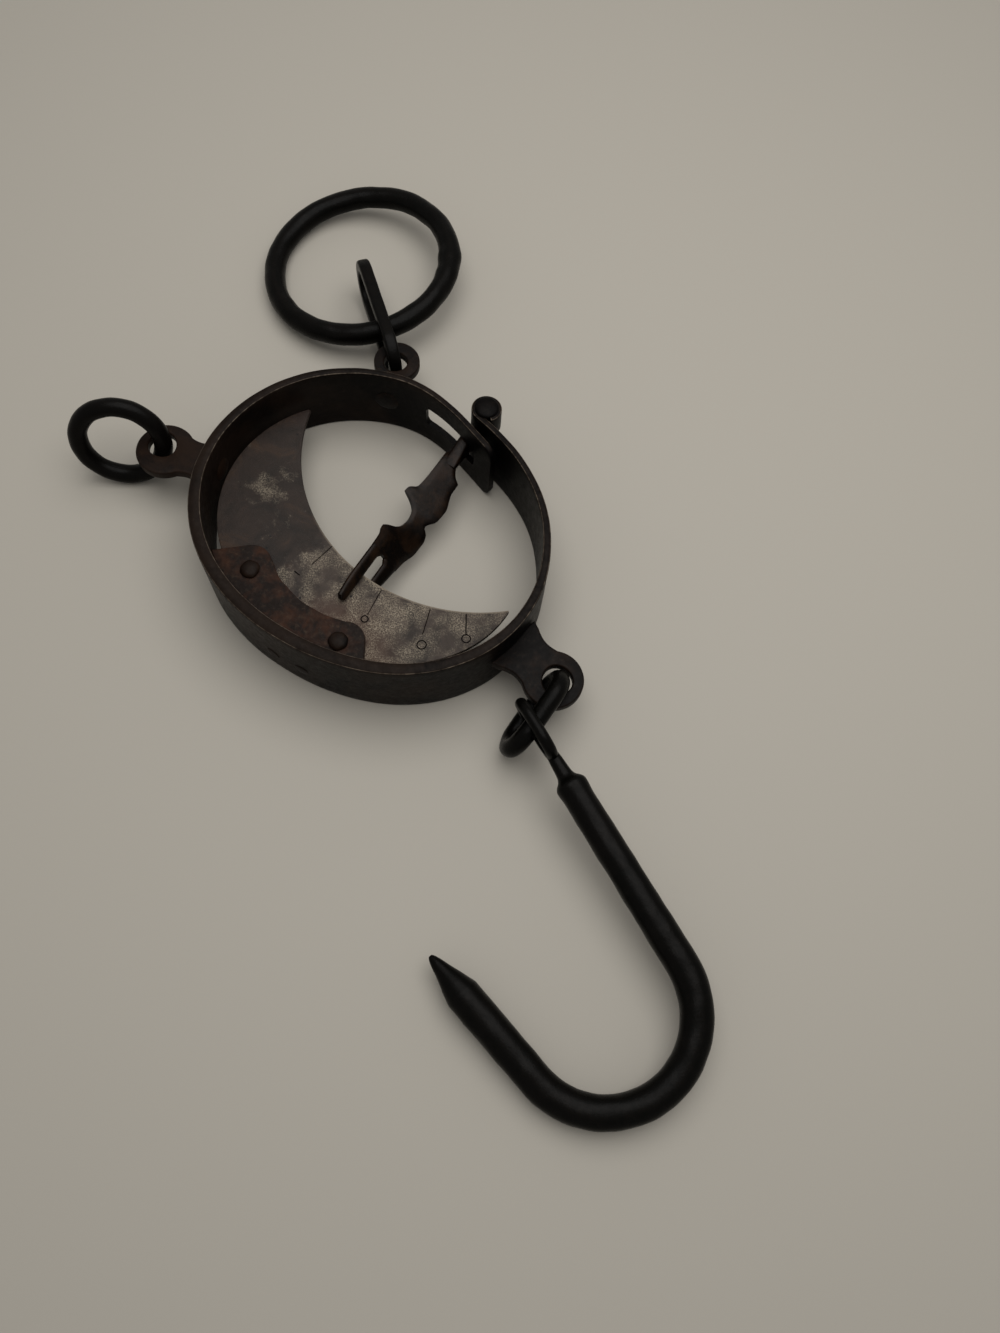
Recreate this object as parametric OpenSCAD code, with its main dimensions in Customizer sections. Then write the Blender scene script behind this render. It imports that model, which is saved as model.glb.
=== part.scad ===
// Hanging spring balance of wrought iron. A hoop of spring steel, with lapped ends, carries a
// crescent scale plate and a pointer. Rings and links hang it up, and a hook takes the load.
// It lies flat, as on a table, and Z is up. X and Y are measured from the hoop's middle.

/* [Hoop] */
// Height of the spring strip
hoop_h = 32; // [30:0.5:36]
// Mean outer radius of the hoop
hoop_r = 65; // [64:0.5:67]
// How far the outline swells along its long axis
hoop_oval = 5.35; // [5:0.05:5.7]
// Direction of the long axis in degrees
hoop_long_az = -30.3; // [-32:0.1:-28]
// How far the outline is pear shaped
hoop_egg = 0.72; // [0.4:0.02:1]
// Thickness of the strip at its middle
strip_back_t = 5; // [4.6:0.1:5.4]
// Thickness of the strip at its two ends
strip_end_t = 2.4; // [2.2:0.1:2.7]
// Direction of the thickest stretch in degrees
strip_thick_az = 235; // [225:1:245]
// How far the inner end is drawn in under the outer one
lap_in = 5.7; // [5.4:0.1:6.2]
// How far the outer end stands out
lap_out = 1.2; // [1:0.1:1.8]
// Direction of the inner end's tip in degrees
inner_end_az = 38.5; // [36:0.5:42]
// Rounding of the inner end's corners
inner_end_round = 5; // [2:0.5:8]

/* [Pointer and knuckle] */
// Direction of the knuckle in degrees
knuckle_az = 55.4; // [55:0.1:56]
// Outer radius of the knuckle
knuckle_r = 6; // [5.6:0.1:6.3]
// Diameter of the pivot pin
pin_d = 5; // [4:0.1:5.4]
// Diameter and height of the pivot pin's domed head
pin_head_d = 9.6; // [8:0.1:10.6]
pin_head_h = 1.4; // [1:0.1:2]
// Height of the pointer's eye and neck
pointer_eye_h = 9; // [7:0.5:9.6]
// Outer radius of the pointer's eye
pointer_eye_r = 5.2; // [4.6:0.1:5.4]
// Width of the pointer's neck
neck_w = 5.5; // [4.5:0.1:6]
// Length of the neck, from the pivot to the bend
neck_len = 10.5; // [10:0.1:11]
// Direction of the neck in degrees
neck_az = 226; // [225:0.5:227]
// Direction of the blade in degrees
blade_az = 246.6; // [245.5:0.1:248]
// Length of the blade, from the bend to its tip
blade_len = 84; // [82:0.5:85]
// Length of the fork's short prong, which runs under the scale plate
short_prong_len = 12.5; // [11:0.5:14]
// Thickness of the blade
blade_t = 2.2; // [1.8:0.1:2.4]
// Twist of the blade's upper leaf in degrees
leaf_twist = 25; // [18:1:32]
// Twist of the blade's fork in degrees
fork_twist = 54; // [50:1:60]
// Length of the fork and width of its slot
fork_len = 24.4; // [24:0.1:26]
fork_slot = 4.6; // [4.4:0.1:5]
// Where the slot in the inner end starts and stops in degrees
slot_from_az = 49.5; // [49:0.5:51]
slot_to_az = 78; // [76:0.5:82]
// Height of the slot in the inner end
slot_h = 11; // [10.2:0.1:13]

/* [Scale plate] */
// Height of the scale plate's underside
plate_z = 15; // [14.6:0.1:15.4]
// Thickness of the scale plate
plate_t = 2; // [1.6:0.1:2.2]
// Radius of the inner edge
plate_inner_r = 69.5; // [68.5:0.5:71]
// Where the inner edge's centre lies
plate_cx = 34.9; // [34.5:0.1:35.5]
plate_cy = 41.5; // [41:0.1:42]
// Least gap between the plate's outer edge and the hoop
plate_gap = 3; // [2.7:0.1:3.2]
// How much the gap grows towards the other side
plate_gap_grow = 3; // [2:0.5:4]
// Direction where the gap is least
plate_gap_az = 145; // [135:5:155]

/* [Bracket] */
// Inner radius of the bracket's foot
foot_r = 39.3; // [38.5:0.1:40]
// Thickness of the foot
foot_t = 2.5; // [2:0.1:3]
// Directions of the foot's two ends in degrees
foot_from_az = 197.5; // [195:0.5:199]
foot_to_az = 277; // [275:0.5:279]
// Rounding of the foot's corners
foot_round = 7.5; // [6:0.1:8]
// Thickness of the flange that stands against the hoop
flange_t = 2.3; // [2:0.1:2.4]
// How far the flange reaches below the foot
flange_drop = 9; // [8.6:0.1:10]
// Diameter of the rivets
rivet_d = 3.6; // [3:0.1:4]
// Diameter of the rivet heads
rivet_head_d = 7.4; // [6.4:0.1:7.6]
// Height of the rivet heads
rivet_head_h = 1.9; // [1.4:0.1:2.2]
// Directions of the two plate rivets in degrees
plate_rivet_left_az = 210.2; // [208:0.1:212]
plate_rivet_right_az = 265.4; // [263:0.1:267]
// How far the plate rivets stand from the middle
plate_rivet_r = 48; // [47:0.1:48.6]
// Directions of the two wall rivets in degrees
wall_rivet_left_az = 242; // [240:0.5:243]
wall_rivet_right_az = 254; // [253:0.5:256]

/* [Lugs] */
// Thickness of the lugs
lug_t = 4; // [3.6:0.1:4.2]
// Height of the lugs' underside
lug_z = 14; // [13.6:0.1:14.4]
// Width of the tenons that pass through the hoop
tenon_w = 9; // [8:0.1:10]
// Height of the tenons' peened ends
peen_h = 1.2; // [0.8:0.1:1.4]
// Left lug: place, direction, reach, outer radius, hole radius, neck width, root width
left_lug_at = 163.5; // [163:0.5:164]
left_lug_dir = 170; // [169:0.5:171]
left_lug_reach = 19.6; // [19:0.1:20.5]
left_lug_r = 11.3; // [10.8:0.1:11.8]
left_hole_r = 5.4; // [5.3:0.1:5.7]
left_neck_w = 16.5; // [15:0.5:18]
left_root_w = 20; // [19:0.5:22]
// Top lug: place, direction, reach, outer radius, hole radius, neck width, root width
top_lug_at = 94; // [93.5:0.5:94.5]
top_lug_dir = 88; // [87:0.5:89]
top_lug_reach = 16.4; // [16:0.1:17]
top_lug_r = 9.4; // [9.2:0.1:9.8]
top_hole_r = 4.7; // [4.6:0.1:5.2]
top_neck_w = 13; // [12:0.5:14]
top_root_w = 16; // [15:0.5:18]
// Hook lug: place, direction, reach, outer radius, hole radius, neck width, root width
hook_lug_at = -32.5; // [-33:0.5:-32]
hook_lug_dir = -37; // [-37.5:0.5:-36.5]
hook_lug_reach = 19.4; // [19:0.1:20]
hook_lug_r = 11.3; // [10.9:0.1:11.7]
hook_hole_r = 5.6; // [5.5:0.1:5.8]
hook_neck_w = 18.5; // [17:0.5:20]
hook_root_w = 24; // [22:0.5:26]

/* [Rings and links] */
// Small ring: radius of its centre line and diameter of its bar
small_ring_r = 16; // [15.5:0.1:17]
small_ring_bar = 7.2; // [6.8:0.1:7.4]
// How steeply the small ring stands in degrees
small_ring_tilt = 71.6; // [70:0.1:74]
// Direction that the small ring faces in degrees
small_ring_az = -80.3; // [-82:0.1:-78]
// Big ring: radius of its centre line and diameter of its bar
big_ring_r = 38.8; // [38:0.1:40]
big_ring_bar = 9; // [8:0.1:9.6]
// How steeply the big ring lies in degrees
big_ring_tilt = 8.5; // [7.5:0.1:9.5]
// Top link: length, width and bar
top_link_len = 60; // [58:0.5:62]
top_link_w = 24; // [23:0.5:25]
top_link_bar = 5.5; // [5:0.1:5.8]
// Top link: direction and slope in degrees
top_link_az = 114.6; // [113:0.1:116]
top_link_slope = 2.5; // [2:0.1:3]
// Hook link: length, width and bar
hook_link_len = 38; // [37.5:0.1:39]
hook_link_w = 25; // [24.6:0.1:26]
hook_link_bar = 7; // [6.6:0.1:7.2]
// Hook link: direction, slope and lean in degrees
hook_link_az = -119; // [-120:0.1:-118]
hook_link_slope = 14; // [13.5:0.1:15]
hook_link_lean = -20; // [-21:0.1:-19]

/* [Hook] */
// Diameter of the shank
shank_d = 11; // [10.6:0.1:12]
// Length of the shank, from its shoulders to the bend
shank_len = 72.5; // [70:0.5:75]
// Radius of the bend's centre line
bend_r = 30.8; // [29:0.1:33]
// How far round the bend goes in degrees
bend_angle = 168.8; // [160:0.1:175]
// Length of the arm, with its point
arm_len = 52; // [45:0.5:56]
// Diameter of the arm where its point begins
arm_d = 12; // [11:0.1:13]
// Length of the point
point_len = 16; // [12:0.5:20]
// Eye loop: length, height and bar
loop_len = 26; // [25:0.1:27]
loop_h = 20; // [19.6:0.1:20.6]
loop_bar = 4.4; // [4:0.1:4.6]
// Lean of the eye loop in degrees
loop_lean = 2.5; // [1:0.5:4]
// Length of the rod between the eye loop and the shoulders
rod_len = 9.5; // [9:0.1:10]
// Diameter of that rod
rod_d = 5.2; // [4.8:0.1:6]
// Direction, slope and roll of the hook in degrees
hook_az = -51.5; // [-52:0.1:-51]
hook_slope = 3.2; // [3:0.1:3.4]
hook_roll = 7.3; // [7:0.1:7.6]

/* [Hidden] */
$fn = 64;

// Clearances: a running fit, a close fit in one body, and a margin that cuts run past
run_fit = 0.05;
close_fit = 0.03;
past = 1;

// The strip's course: it starts at the knuckle and runs clockwise round to the inner end
full_turn = 360;
strip_steps = 126;
lap_in_from = -268;
lap_in_span = 52;
lap_out_from = -10;
lap_out_span = 40;
inner_end = inner_end_az - full_turn;
strip_az = [for (i = [0 : strip_steps]) knuckle_az + (inner_end - knuckle_az) * i / strip_steps];

function ease(t) = pow(sin(90 * min(1, max(0, t))), 2);
function at(r, az) = [r * cos(az), r * sin(az)];
function outer_r(az) = hoop_r + hoop_oval * cos(2 * (az - hoop_long_az)) - hoop_egg * sin(3 * az)
    - lap_in * ease((lap_in_from - az) / lap_in_span)
    + lap_out * ease((az - lap_out_from) / lap_out_span);
function strip_t(az) = strip_end_t
    + (strip_back_t - strip_end_t) * pow(cos((az - strip_thick_az) / 2), 2);
function inner_r(az) = outer_r(az) - strip_t(az);
// The strip's direction number for a plain direction: most of the strip lies below the start
function run_az(az) = az > knuckle_az ? az - full_turn : az;

// Pivot of the pointer, and the places of the lugs' eyes
pivot_r = inner_r(knuckle_az) + knuckle_r;
pivot = at(pivot_r, knuckle_az);
plate_top = plate_z + plate_t;
plate_mid = plate_z + plate_t / 2;
foot_top = plate_top + foot_t;
lug_mid = lug_z + lug_t / 2;
wall_rivet_z = plate_z - rivet_head_d / 2 + 0.1;
function lug_root(place) = at(outer_r(run_az(place)), place);
left_eye = lug_root(left_lug_at) + at(left_lug_reach, left_lug_dir);
top_eye = lug_root(top_lug_at) + at(top_lug_reach, top_lug_dir);
hook_eye = lug_root(hook_lug_at) + at(hook_lug_reach, hook_lug_dir);

// The holes lie a little off the middles of their eyes, as punched by hand
left_hole_shift = [-1.5, 1.8];
top_hole_shift = [-0.5, -0.6];
hook_hole_shift = [1.5, -0.2];
function turned(p, az) = [p[0] * cos(az) - p[1] * sin(az), p[0] * sin(az) + p[1] * cos(az)];

// The small ring stands with its foot on the table, and its bar passes through the left lug's hole
small_ring_z = small_ring_r * sin(small_ring_tilt) + small_ring_bar / 2;
small_ring_hold = acos((small_ring_z - lug_mid) / (small_ring_r * sin(small_ring_tilt)));
small_ring_at = left_eye + left_hole_shift - turned([small_ring_r * cos(small_ring_hold)
    * cos(small_ring_tilt), small_ring_r * sin(small_ring_hold)], small_ring_az);

// The top link stands on edge. Its near end hangs in the top lug, its far end is on the table
top_link_rise = (top_link_len - (top_link_w + top_link_bar) / 2) * sin(top_link_slope);
top_link_slack = [-0.4, -1.6];
top_link_at = [top_eye[0] + top_link_slack[0], top_eye[1] + top_link_slack[1],
    top_link_w / 2 + top_link_rise];

// The big ring lies with its left side on the table, and crosses the top link this far along it
big_ring_along = 22.2;
big_ring_hold = -66.6;
big_ring_at = [top_link_at[0], top_link_at[1]] + at(big_ring_along, top_link_az)
    - [big_ring_r * cos(big_ring_hold) * cos(big_ring_tilt), big_ring_r * sin(big_ring_hold)];
big_ring_z = big_ring_r * sin(big_ring_tilt) + big_ring_bar / 2;

// The hook link hangs in the hook lug, and its far end is on the table
hook_link_end_r = (hook_link_w - hook_link_bar) / 2;
hook_link_run = hook_link_len - hook_link_bar - hook_link_end_r;
hook_link_low = hook_link_end_r * sqrt(pow(cos(hook_link_slope) * cos(hook_link_lean), 2)
    + pow(sin(hook_link_slope), 2));
hook_link_z = hook_link_run * sin(hook_link_slope) + hook_link_low + hook_link_bar / 2;
hook_link_slack = [2.3, 0.4];
hook_link_at = [hook_eye[0] + hook_link_slack[0], hook_eye[1] + hook_link_slack[1], hook_link_z];

// The hook's own frame: X runs down the shank, the arm is on the -Y side, and the origin is on
// the shank's centre line. Its eye loop goes round the hook link's upper bar
shoulder_len = 5;
shoulder_x = -3.5;
bend_x = shoulder_x + shank_len;
loop_x = shoulder_x - rod_len - loop_len + loop_bar;
rod_end_d = rod_d + 1;
bend_d = shank_d + 0.6;
point_end_d = 2.4;
bar_in_loop = 8.8;
loop_past_end = 10.15;
loop_along = hook_link_end_r + loop_past_end;
loop_at = [hook_link_at[0], hook_link_at[1]] + turned([loop_along * cos(hook_link_slope)
    + hook_link_end_r * cos(hook_link_lean) * sin(hook_link_slope),
    -hook_link_end_r * sin(hook_link_lean)], hook_link_az);
hook_at = loop_at + at(-loop_x - bar_in_loop, hook_az);

// Normal of the hook's flat, and how far a ring in that flat reaches along X, Y and Z
hook_normal = [cos(hook_az) * cos(hook_roll) * sin(hook_slope) + sin(hook_az) * sin(hook_roll),
    sin(hook_az) * cos(hook_roll) * sin(hook_slope) - cos(hook_az) * sin(hook_roll),
    cos(hook_roll) * cos(hook_slope)];
function bend_reach(i) = bend_r * sqrt(1 - pow(hook_normal[i], 2)) + bend_d / 2;
bend_fall = bend_x * sin(hook_slope) + bend_r * sin(hook_roll) * cos(hook_slope);
hook_z = bend_fall + bend_reach(2);
bend_forward = bend_x * cos(hook_slope) - bend_r * sin(hook_roll) * sin(hook_slope);
bend_aside = bend_r * cos(hook_roll);
bend_mid = hook_at + at(bend_forward, hook_az) + at(bend_aside, hook_az - 90);

// Middle of the object's outline on the table, where the part's origin lies
small_ring_reach = small_ring_r * sqrt(1 - pow(sin(small_ring_tilt) * cos(small_ring_az), 2))
    + small_ring_bar / 2;
left_end = small_ring_at[0] - small_ring_reach;
right_end = bend_mid[0] + bend_reach(0);
front_end = bend_mid[1] - bend_reach(1);
back_end = big_ring_at[1] + big_ring_r + big_ring_bar / 2;
origin = [(left_end + right_end) / 2, (front_end + back_end) / 2, 0];

module from_hoop_middle() {
    translate(-origin) children();
}

// Outline of the strip, from its outer face shrunk by grow_in to its inner face
module strip_outline(azs, inset_out = 0, inset_in = 0) {
    outside = [for (a = azs) at(outer_r(a) - inset_out, a)];
    inside = [for (i = [len(azs) - 1 : -1 : 0]) at(inner_r(azs[i]) - inset_in, azs[i])];
    polygon(concat(outside, inside));
}

// The space inside the hoop's wall, less a gap
module hoop_inside(gap = 0, grow = 0) {
    azs = [for (a = strip_az) if (a > lap_in_from) a];
    polygon([for (a = azs)
        at(inner_r(a) - gap - grow * pow(sin((a - plate_gap_az) / 2), 2), a)]);
}

// A low dome on a round base
module dome(d, h) {
    ball_r = (pow(d / 2, 2) + pow(h, 2)) / (2 * h);
    intersection() {
        translate([0, 0, h - ball_r]) sphere(r = ball_r);
        cylinder(d = d, h = h);
    }
}

// Slot for a lug's tenon, or the tenon itself when play is 0
module tenon(place, dir, play, out, back) {
    translate([lug_root(place)[0], lug_root(place)[1], lug_z - play])
        rotate([0, 0, dir])
            translate([-back, -tenon_w / 2 - play, 0])
                cube([back + out, tenon_w + 2 * play, lug_t + 2 * play]);
}

// Rivet hole or shank through the flange and the hoop, with its axis square to the wall
module wall_rivet_axis(az) {
    translate([at(outer_r(run_az(az)), az)[0], at(outer_r(run_az(az)), az)[1], wall_rivet_z])
        rotate([0, 90, az + wall_skew(az)])
            children();
}
// Angle between the wall's normal and the ray from the middle
function wall_skew(az) = let (d = 1, a = run_az(az))
    -atan((outer_r(a + d) - outer_r(a - d)) / (2 * d) * (180 / PI) / outer_r(a));

module hoop_band(h = hoop_h) {
    linear_extrude(h) strip_outline(strip_az);
}

module inner_end_corner(z, up) {
    tip = at(inner_r(inner_end), inner_end);
    translate([tip[0], tip[1], z])
        rotate([0, 0, inner_end_az])
            difference() {
                translate([-past, -past, up ? 0 : -past])
                    cube([strip_end_t + 2 * past, inner_end_round + past, inner_end_round + past]);
                translate([-2 * past, inner_end_round, up ? 0 : inner_end_round])
                    rotate([0, 90, 0])
                        cylinder(r = inner_end_round, h = strip_end_t + 4 * past);
            }
}

module spring_hoop() {
    slot_az = [for (i = [0 : 12])
        slot_to_az + (slot_from_az - slot_to_az) * i / 12 - full_turn];
    window_h = pointer_eye_h + past;
    window_r = knuckle_r + 0.6;
    color("#2b2622") from_hoop_middle()
        difference() {
            union() {
                hoop_band();
                translate([pivot[0], pivot[1], 0]) cylinder(r = knuckle_r, h = hoop_h);
            }
            translate([pivot[0], pivot[1], -past])
                cylinder(r = pin_d / 2 + close_fit, h = hoop_h + 2 * past);
            translate([pivot[0], pivot[1], plate_mid - window_h / 2])
                cylinder(r = window_r, h = window_h);
            translate([0, 0, plate_mid - slot_h / 2])
                linear_extrude(slot_h) strip_outline(slot_az, -past, past);
            inner_end_corner(0, false);
            inner_end_corner(hoop_h - inner_end_round, true);
            tenon(left_lug_at, left_lug_dir, close_fit, 2 * past, 2 * strip_back_t);
            tenon(top_lug_at, top_lug_dir, close_fit, 2 * past, 2 * strip_back_t);
            tenon(hook_lug_at, hook_lug_dir, close_fit, 2 * past, 2 * strip_back_t);
            for (az = [wall_rivet_left_az, wall_rivet_right_az])
                wall_rivet_axis(az)
                    translate([0, 0, -2 * strip_back_t])
                        cylinder(d = rivet_d + 2 * close_fit, h = 3 * strip_back_t);
        }
}

module plate_rivet_holes() {
    for (az = [plate_rivet_left_az, plate_rivet_right_az])
        translate([at(plate_rivet_r, az)[0], at(plate_rivet_r, az)[1], 0])
            cylinder(d = rivet_d + 2 * close_fit, h = hoop_h);
}

module scale_plate() {
    color("#6b6459") from_hoop_middle()
        difference() {
            translate([0, 0, plate_z])
                linear_extrude(plate_t)
                    difference() {
                        hoop_inside(plate_gap, plate_gap_grow);
                        translate([plate_cx, plate_cy]) circle(r = plate_inner_r, $fn = 180);
                    }
            plate_rivet_holes();
        }
}

// Foot outline: along the wall, round one corner, back along the inner edge, round the other
foot_steps = 30;
foot_wall_az = [for (i = [0 : foot_steps])
    foot_from_az + (foot_to_az - foot_from_az) * i / foot_steps - full_turn];
corner_az = asin(foot_round / (foot_r + foot_round));
corner_turn = 90 - corner_az;
function foot_corner(az, from_turn) = [for (i = [0 : 8])
    at(foot_r + foot_round, az) + at(foot_round, from_turn + corner_turn * i / 8)];
foot_inner_edge = [for (i = [1 : 19])
    at(foot_r, foot_to_az - corner_az + (foot_from_az - foot_to_az + 2 * corner_az) * i / 20)];
foot_outline = concat([for (a = foot_wall_az) at(inner_r(a) - close_fit, a)],
    foot_corner(foot_to_az - corner_az, foot_to_az + 90),
    foot_inner_edge,
    foot_corner(foot_from_az + corner_az, foot_from_az + 180 + corner_az));
flange_outline = concat([for (a = foot_wall_az) at(inner_r(a) - close_fit, a)],
    [for (i = [foot_steps : -1 : 0]) at(inner_r(foot_wall_az[i]) - flange_t, foot_wall_az[i])]);

module bracket() {
    color("#4a3426") from_hoop_middle()
        difference() {
            union() {
                translate([0, 0, plate_top]) linear_extrude(foot_t) polygon(foot_outline);
                translate([0, 0, plate_top - flange_drop])
                    linear_extrude(flange_drop + foot_t) polygon(flange_outline);
            }
            plate_rivet_holes();
            for (az = [wall_rivet_left_az, wall_rivet_right_az])
                wall_rivet_axis(az)
                    translate([0, 0, -3 * strip_back_t])
                        cylinder(d = rivet_d + 2 * close_fit, h = 4 * strip_back_t);
        }
}

module plate_rivet(az) {
    color("#54392a") from_hoop_middle()
        translate([at(plate_rivet_r, az)[0], at(plate_rivet_r, az)[1], 0]) {
            translate([0, 0, foot_top]) dome(rivet_head_d, rivet_head_h);
            translate([0, 0, plate_z - peen_h / 2])
                cylinder(d = rivet_d, h = foot_top - plate_z + peen_h);
            translate([0, 0, plate_z]) mirror([0, 0, 1]) dome(rivet_head_d, peen_h);
        }
}

module wall_rivet(az) {
    wall = strip_t(run_az(az));
    color("#54392a") from_hoop_middle() {
        difference() {
            wall_rivet_axis(az) {
                translate([0, 0, -past]) dome(rivet_head_d - past, peen_h + past);
                translate([0, 0, past - wall - flange_t])
                    mirror([0, 0, 1]) dome(rivet_head_d - past, peen_h + past);
            }
            hoop_band();
            linear_extrude(hoop_h)
                difference() {
                    hoop_inside();
                    hoop_inside(flange_t + 2 * close_fit);
                }
        }
        wall_rivet_axis(az)
            translate([0, 0, -wall - flange_t - peen_h / 2])
                cylinder(d = rivet_d, h = wall + flange_t + peen_h);
    }
}

// A flat eye on a neck that widens to the hoop, with a tenon riveted over inside the wall
module lug(place, dir, reach, eye_r, hole_r, hole_shift, neck_w, root_w) {
    wall = strip_t(run_az(place));
    color("#40332a") from_hoop_middle() {
        difference() {
            translate([lug_root(place)[0], lug_root(place)[1], 0])
                rotate([0, 0, dir]) {
                    difference() {
                        translate([0, 0, lug_z])
                            linear_extrude(lug_t) {
                                translate([reach, 0]) circle(r = eye_r);
                                polygon([[-2 * past, -root_w / 2], [past, -root_w / 2],
                                    [reach - eye_r, -neck_w / 2], [reach, -neck_w / 2],
                                    [reach, neck_w / 2], [reach - eye_r, neck_w / 2],
                                    [past, root_w / 2], [-2 * past, root_w / 2]]);
                            }
                        translate([reach, 0, 0])
                            rotate([0, 0, -dir])
                                translate([hole_shift[0], hole_shift[1], 0])
                                    cylinder(r = hole_r, h = hoop_h);
                    }
                    translate([-wall - peen_h, 0, lug_mid])
                        rotate([0, 90, 0])
                            cylinder(d = tenon_w + past, h = peen_h + past);
                }
            hoop_band();
        }
        tenon(place, dir, 0, past, wall + past);
    }
}

module left_lug() {
    lug(left_lug_at, left_lug_dir, left_lug_reach, left_lug_r, left_hole_r,
        left_hole_shift, left_neck_w, left_root_w);
}

module top_lug() {
    lug(top_lug_at, top_lug_dir, top_lug_reach, top_lug_r, top_hole_r,
        top_hole_shift, top_neck_w, top_root_w);
}

module hook_lug() {
    lug(hook_lug_at, hook_lug_dir, hook_lug_reach, hook_lug_r, hook_hole_r,
        hook_hole_shift, hook_neck_w, hook_root_w);
}

// The pointer's blade is three flat leaves, each twisted further about one line, so that its
// upper edge stands high. X runs down the blade, and the upper edge is on the +Y side
module leaf(outline, twist) {
    mirror([0, 1, 0])
        rotate([twist, 0, 0])
            translate([0, 0, -blade_t / 2])
                linear_extrude(blade_t) polygon(outline);
}

module pointer() {
    neck_end = 6;
    waist_from = 37.6;
    waist_to = 41.1;
    upper_leaf = [[-1, 2.6], [4.7, 3.3], [8, 4.2], [19.5, 4.4], [27.3, 5.1], [30.3, 7.9], [32.2, 8.2],
        [33.8, 5.5], [35.4, 3], [waist_from, 1.1], [waist_to, 0.6], [waist_to, -6.3],
        [waist_from, -7.2], [33.9, -9.1], [28.5, -9.5], [23.8, -8.2], [20.7, -7.3], [16.2, -7.3],
        [14.4, -4.9], [11.8, -3.2], [8.2, -2.2], [-1, -2.6]];
    waist_leaf = [[waist_from - 1, 1], [waist_to + 2, 0.6], [waist_to + 2, -9], [waist_to, -8.2],
        [waist_from, -7], [waist_from - 1, -7.4]];
    fork_root = blade_len - fork_len;
    half_slot = fork_slot / 2;
    slot_flare = 2.7;
    short_end = fork_root + short_prong_len;
    fork_leaf = [[waist_from + 2, 0.6], [waist_to, 0.4], [44.7, 1.2], [47.1, 3.2], [49.8, 7.4],
        [50.7, 8.3], [52.4, 8.2], [54.5, 7], [fork_root + 11.5, 7], [blade_len - 0.6, 6],
        [blade_len, 3.6], [blade_len - 1, half_slot], [fork_root + slot_flare, half_slot],
        [fork_root, half_slot - 1], [fork_root, 1 - half_slot], [fork_root + slot_flare, -half_slot],
        [short_end - 1, -half_slot], [short_end, -4.2], [short_end - 3, -7.1], [fork_root, -8.5],
        [54.9, -9.3], [48.2, -11.2], [43.7, -10.8], [waist_to, -9.4], [waist_from + 2, -7.6]];
    color("#33271f") from_hoop_middle()
        translate([pivot[0], pivot[1], plate_mid])
            difference() {
                union() {
                    translate([0, 0, -pointer_eye_h / 2])
                        cylinder(r = pointer_eye_r, h = pointer_eye_h);
                    rotate([0, 0, neck_az])
                        translate([0, -neck_w / 2, -pointer_eye_h / 2])
                            cube([neck_len, neck_w, pointer_eye_h]);
                    translate(at(neck_len, neck_az))
                        rotate([0, 0, blade_az]) {
                            translate([0, 0, -pointer_eye_h / 2])
                                cylinder(d = neck_w + 0.6, h = pointer_eye_h);
                            translate([0, -neck_w / 2, -pointer_eye_h / 2])
                                cube([neck_end, neck_w, pointer_eye_h]);
                            leaf(upper_leaf, leaf_twist);
                            leaf(waist_leaf, (leaf_twist + fork_twist) / 2);
                            leaf(fork_leaf, fork_twist);
                        }
                }
                translate([0, 0, -pointer_eye_h])
                    cylinder(d = pin_d + 2 * run_fit, h = 2 * pointer_eye_h);
            }
}

module pivot_pin() {
    pin_end = 0.3;
    color("#2a2320") from_hoop_middle()
        translate([pivot[0], pivot[1], 0]) {
            translate([0, 0, pin_end]) cylinder(d = pin_d, h = hoop_h - pin_end + pin_head_h / 2);
            translate([0, 0, hoop_h]) dome(pin_head_d, pin_head_h);
        }
}

// A round ring in the XY plane, about the origin
module round_ring(centre_r, bar) {
    rotate_extrude($fn = 120) translate([centre_r, 0]) circle(d = bar);
}

// An oval link in the XZ plane. The centre line of its near end is at the origin, long axis +X
module oval_link(length, width, bar) {
    end_r = (width - bar) / 2;
    run = length - width;
    translate([end_r, 0, 0]) rotate([90, 90, 0]) half_ring(end_r, bar);
    translate([end_r + run, 0, 0]) rotate([90, -90, 0]) half_ring(end_r, bar);
    for (side = [-1, 1])
        translate([end_r, 0, side * end_r])
            rotate([0, 90, 0]) cylinder(d = bar, h = run);
}

module half_ring(centre_r, bar) {
    rotate([0, 0, 180]) rotate_extrude(angle = 180, $fn = 96) translate([centre_r, 0]) circle(d = bar);
}

module small_ring() {
    color("#1d1a19") from_hoop_middle()
        translate([small_ring_at[0], small_ring_at[1], small_ring_z])
            rotate([0, small_ring_tilt, small_ring_az])
                round_ring(small_ring_r, small_ring_bar);
}

module top_link() {
    color("#1f1b19") from_hoop_middle()
        translate(top_link_at)
            rotate([0, top_link_slope, top_link_az])
                oval_link(top_link_len, top_link_w, top_link_bar);
}

module big_ring() {
    color("#1b1918") from_hoop_middle()
        translate([big_ring_at[0], big_ring_at[1], big_ring_z])
            rotate([0, -big_ring_tilt, 0])
                round_ring(big_ring_r, big_ring_bar);
}

module hook_link() {
    color("#231d1a") from_hoop_middle()
        translate(hook_link_at)
            rotate([0, hook_link_slope, hook_link_az])
                rotate([hook_link_lean, 0, 0])
                    oval_link(hook_link_len, hook_link_w, hook_link_bar);
}

// A round bar along +X. Each spot of its profile is a place along it and a radius
module turned_bar(profile) {
    first = profile[0];
    last = profile[len(profile) - 1];
    rotate([0, 90, 0])
        rotate_extrude()
            polygon(concat([[0, first[0]]], [for (spot = profile) [spot[1], spot[0]]],
                [[0, last[0]]]));
}

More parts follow.
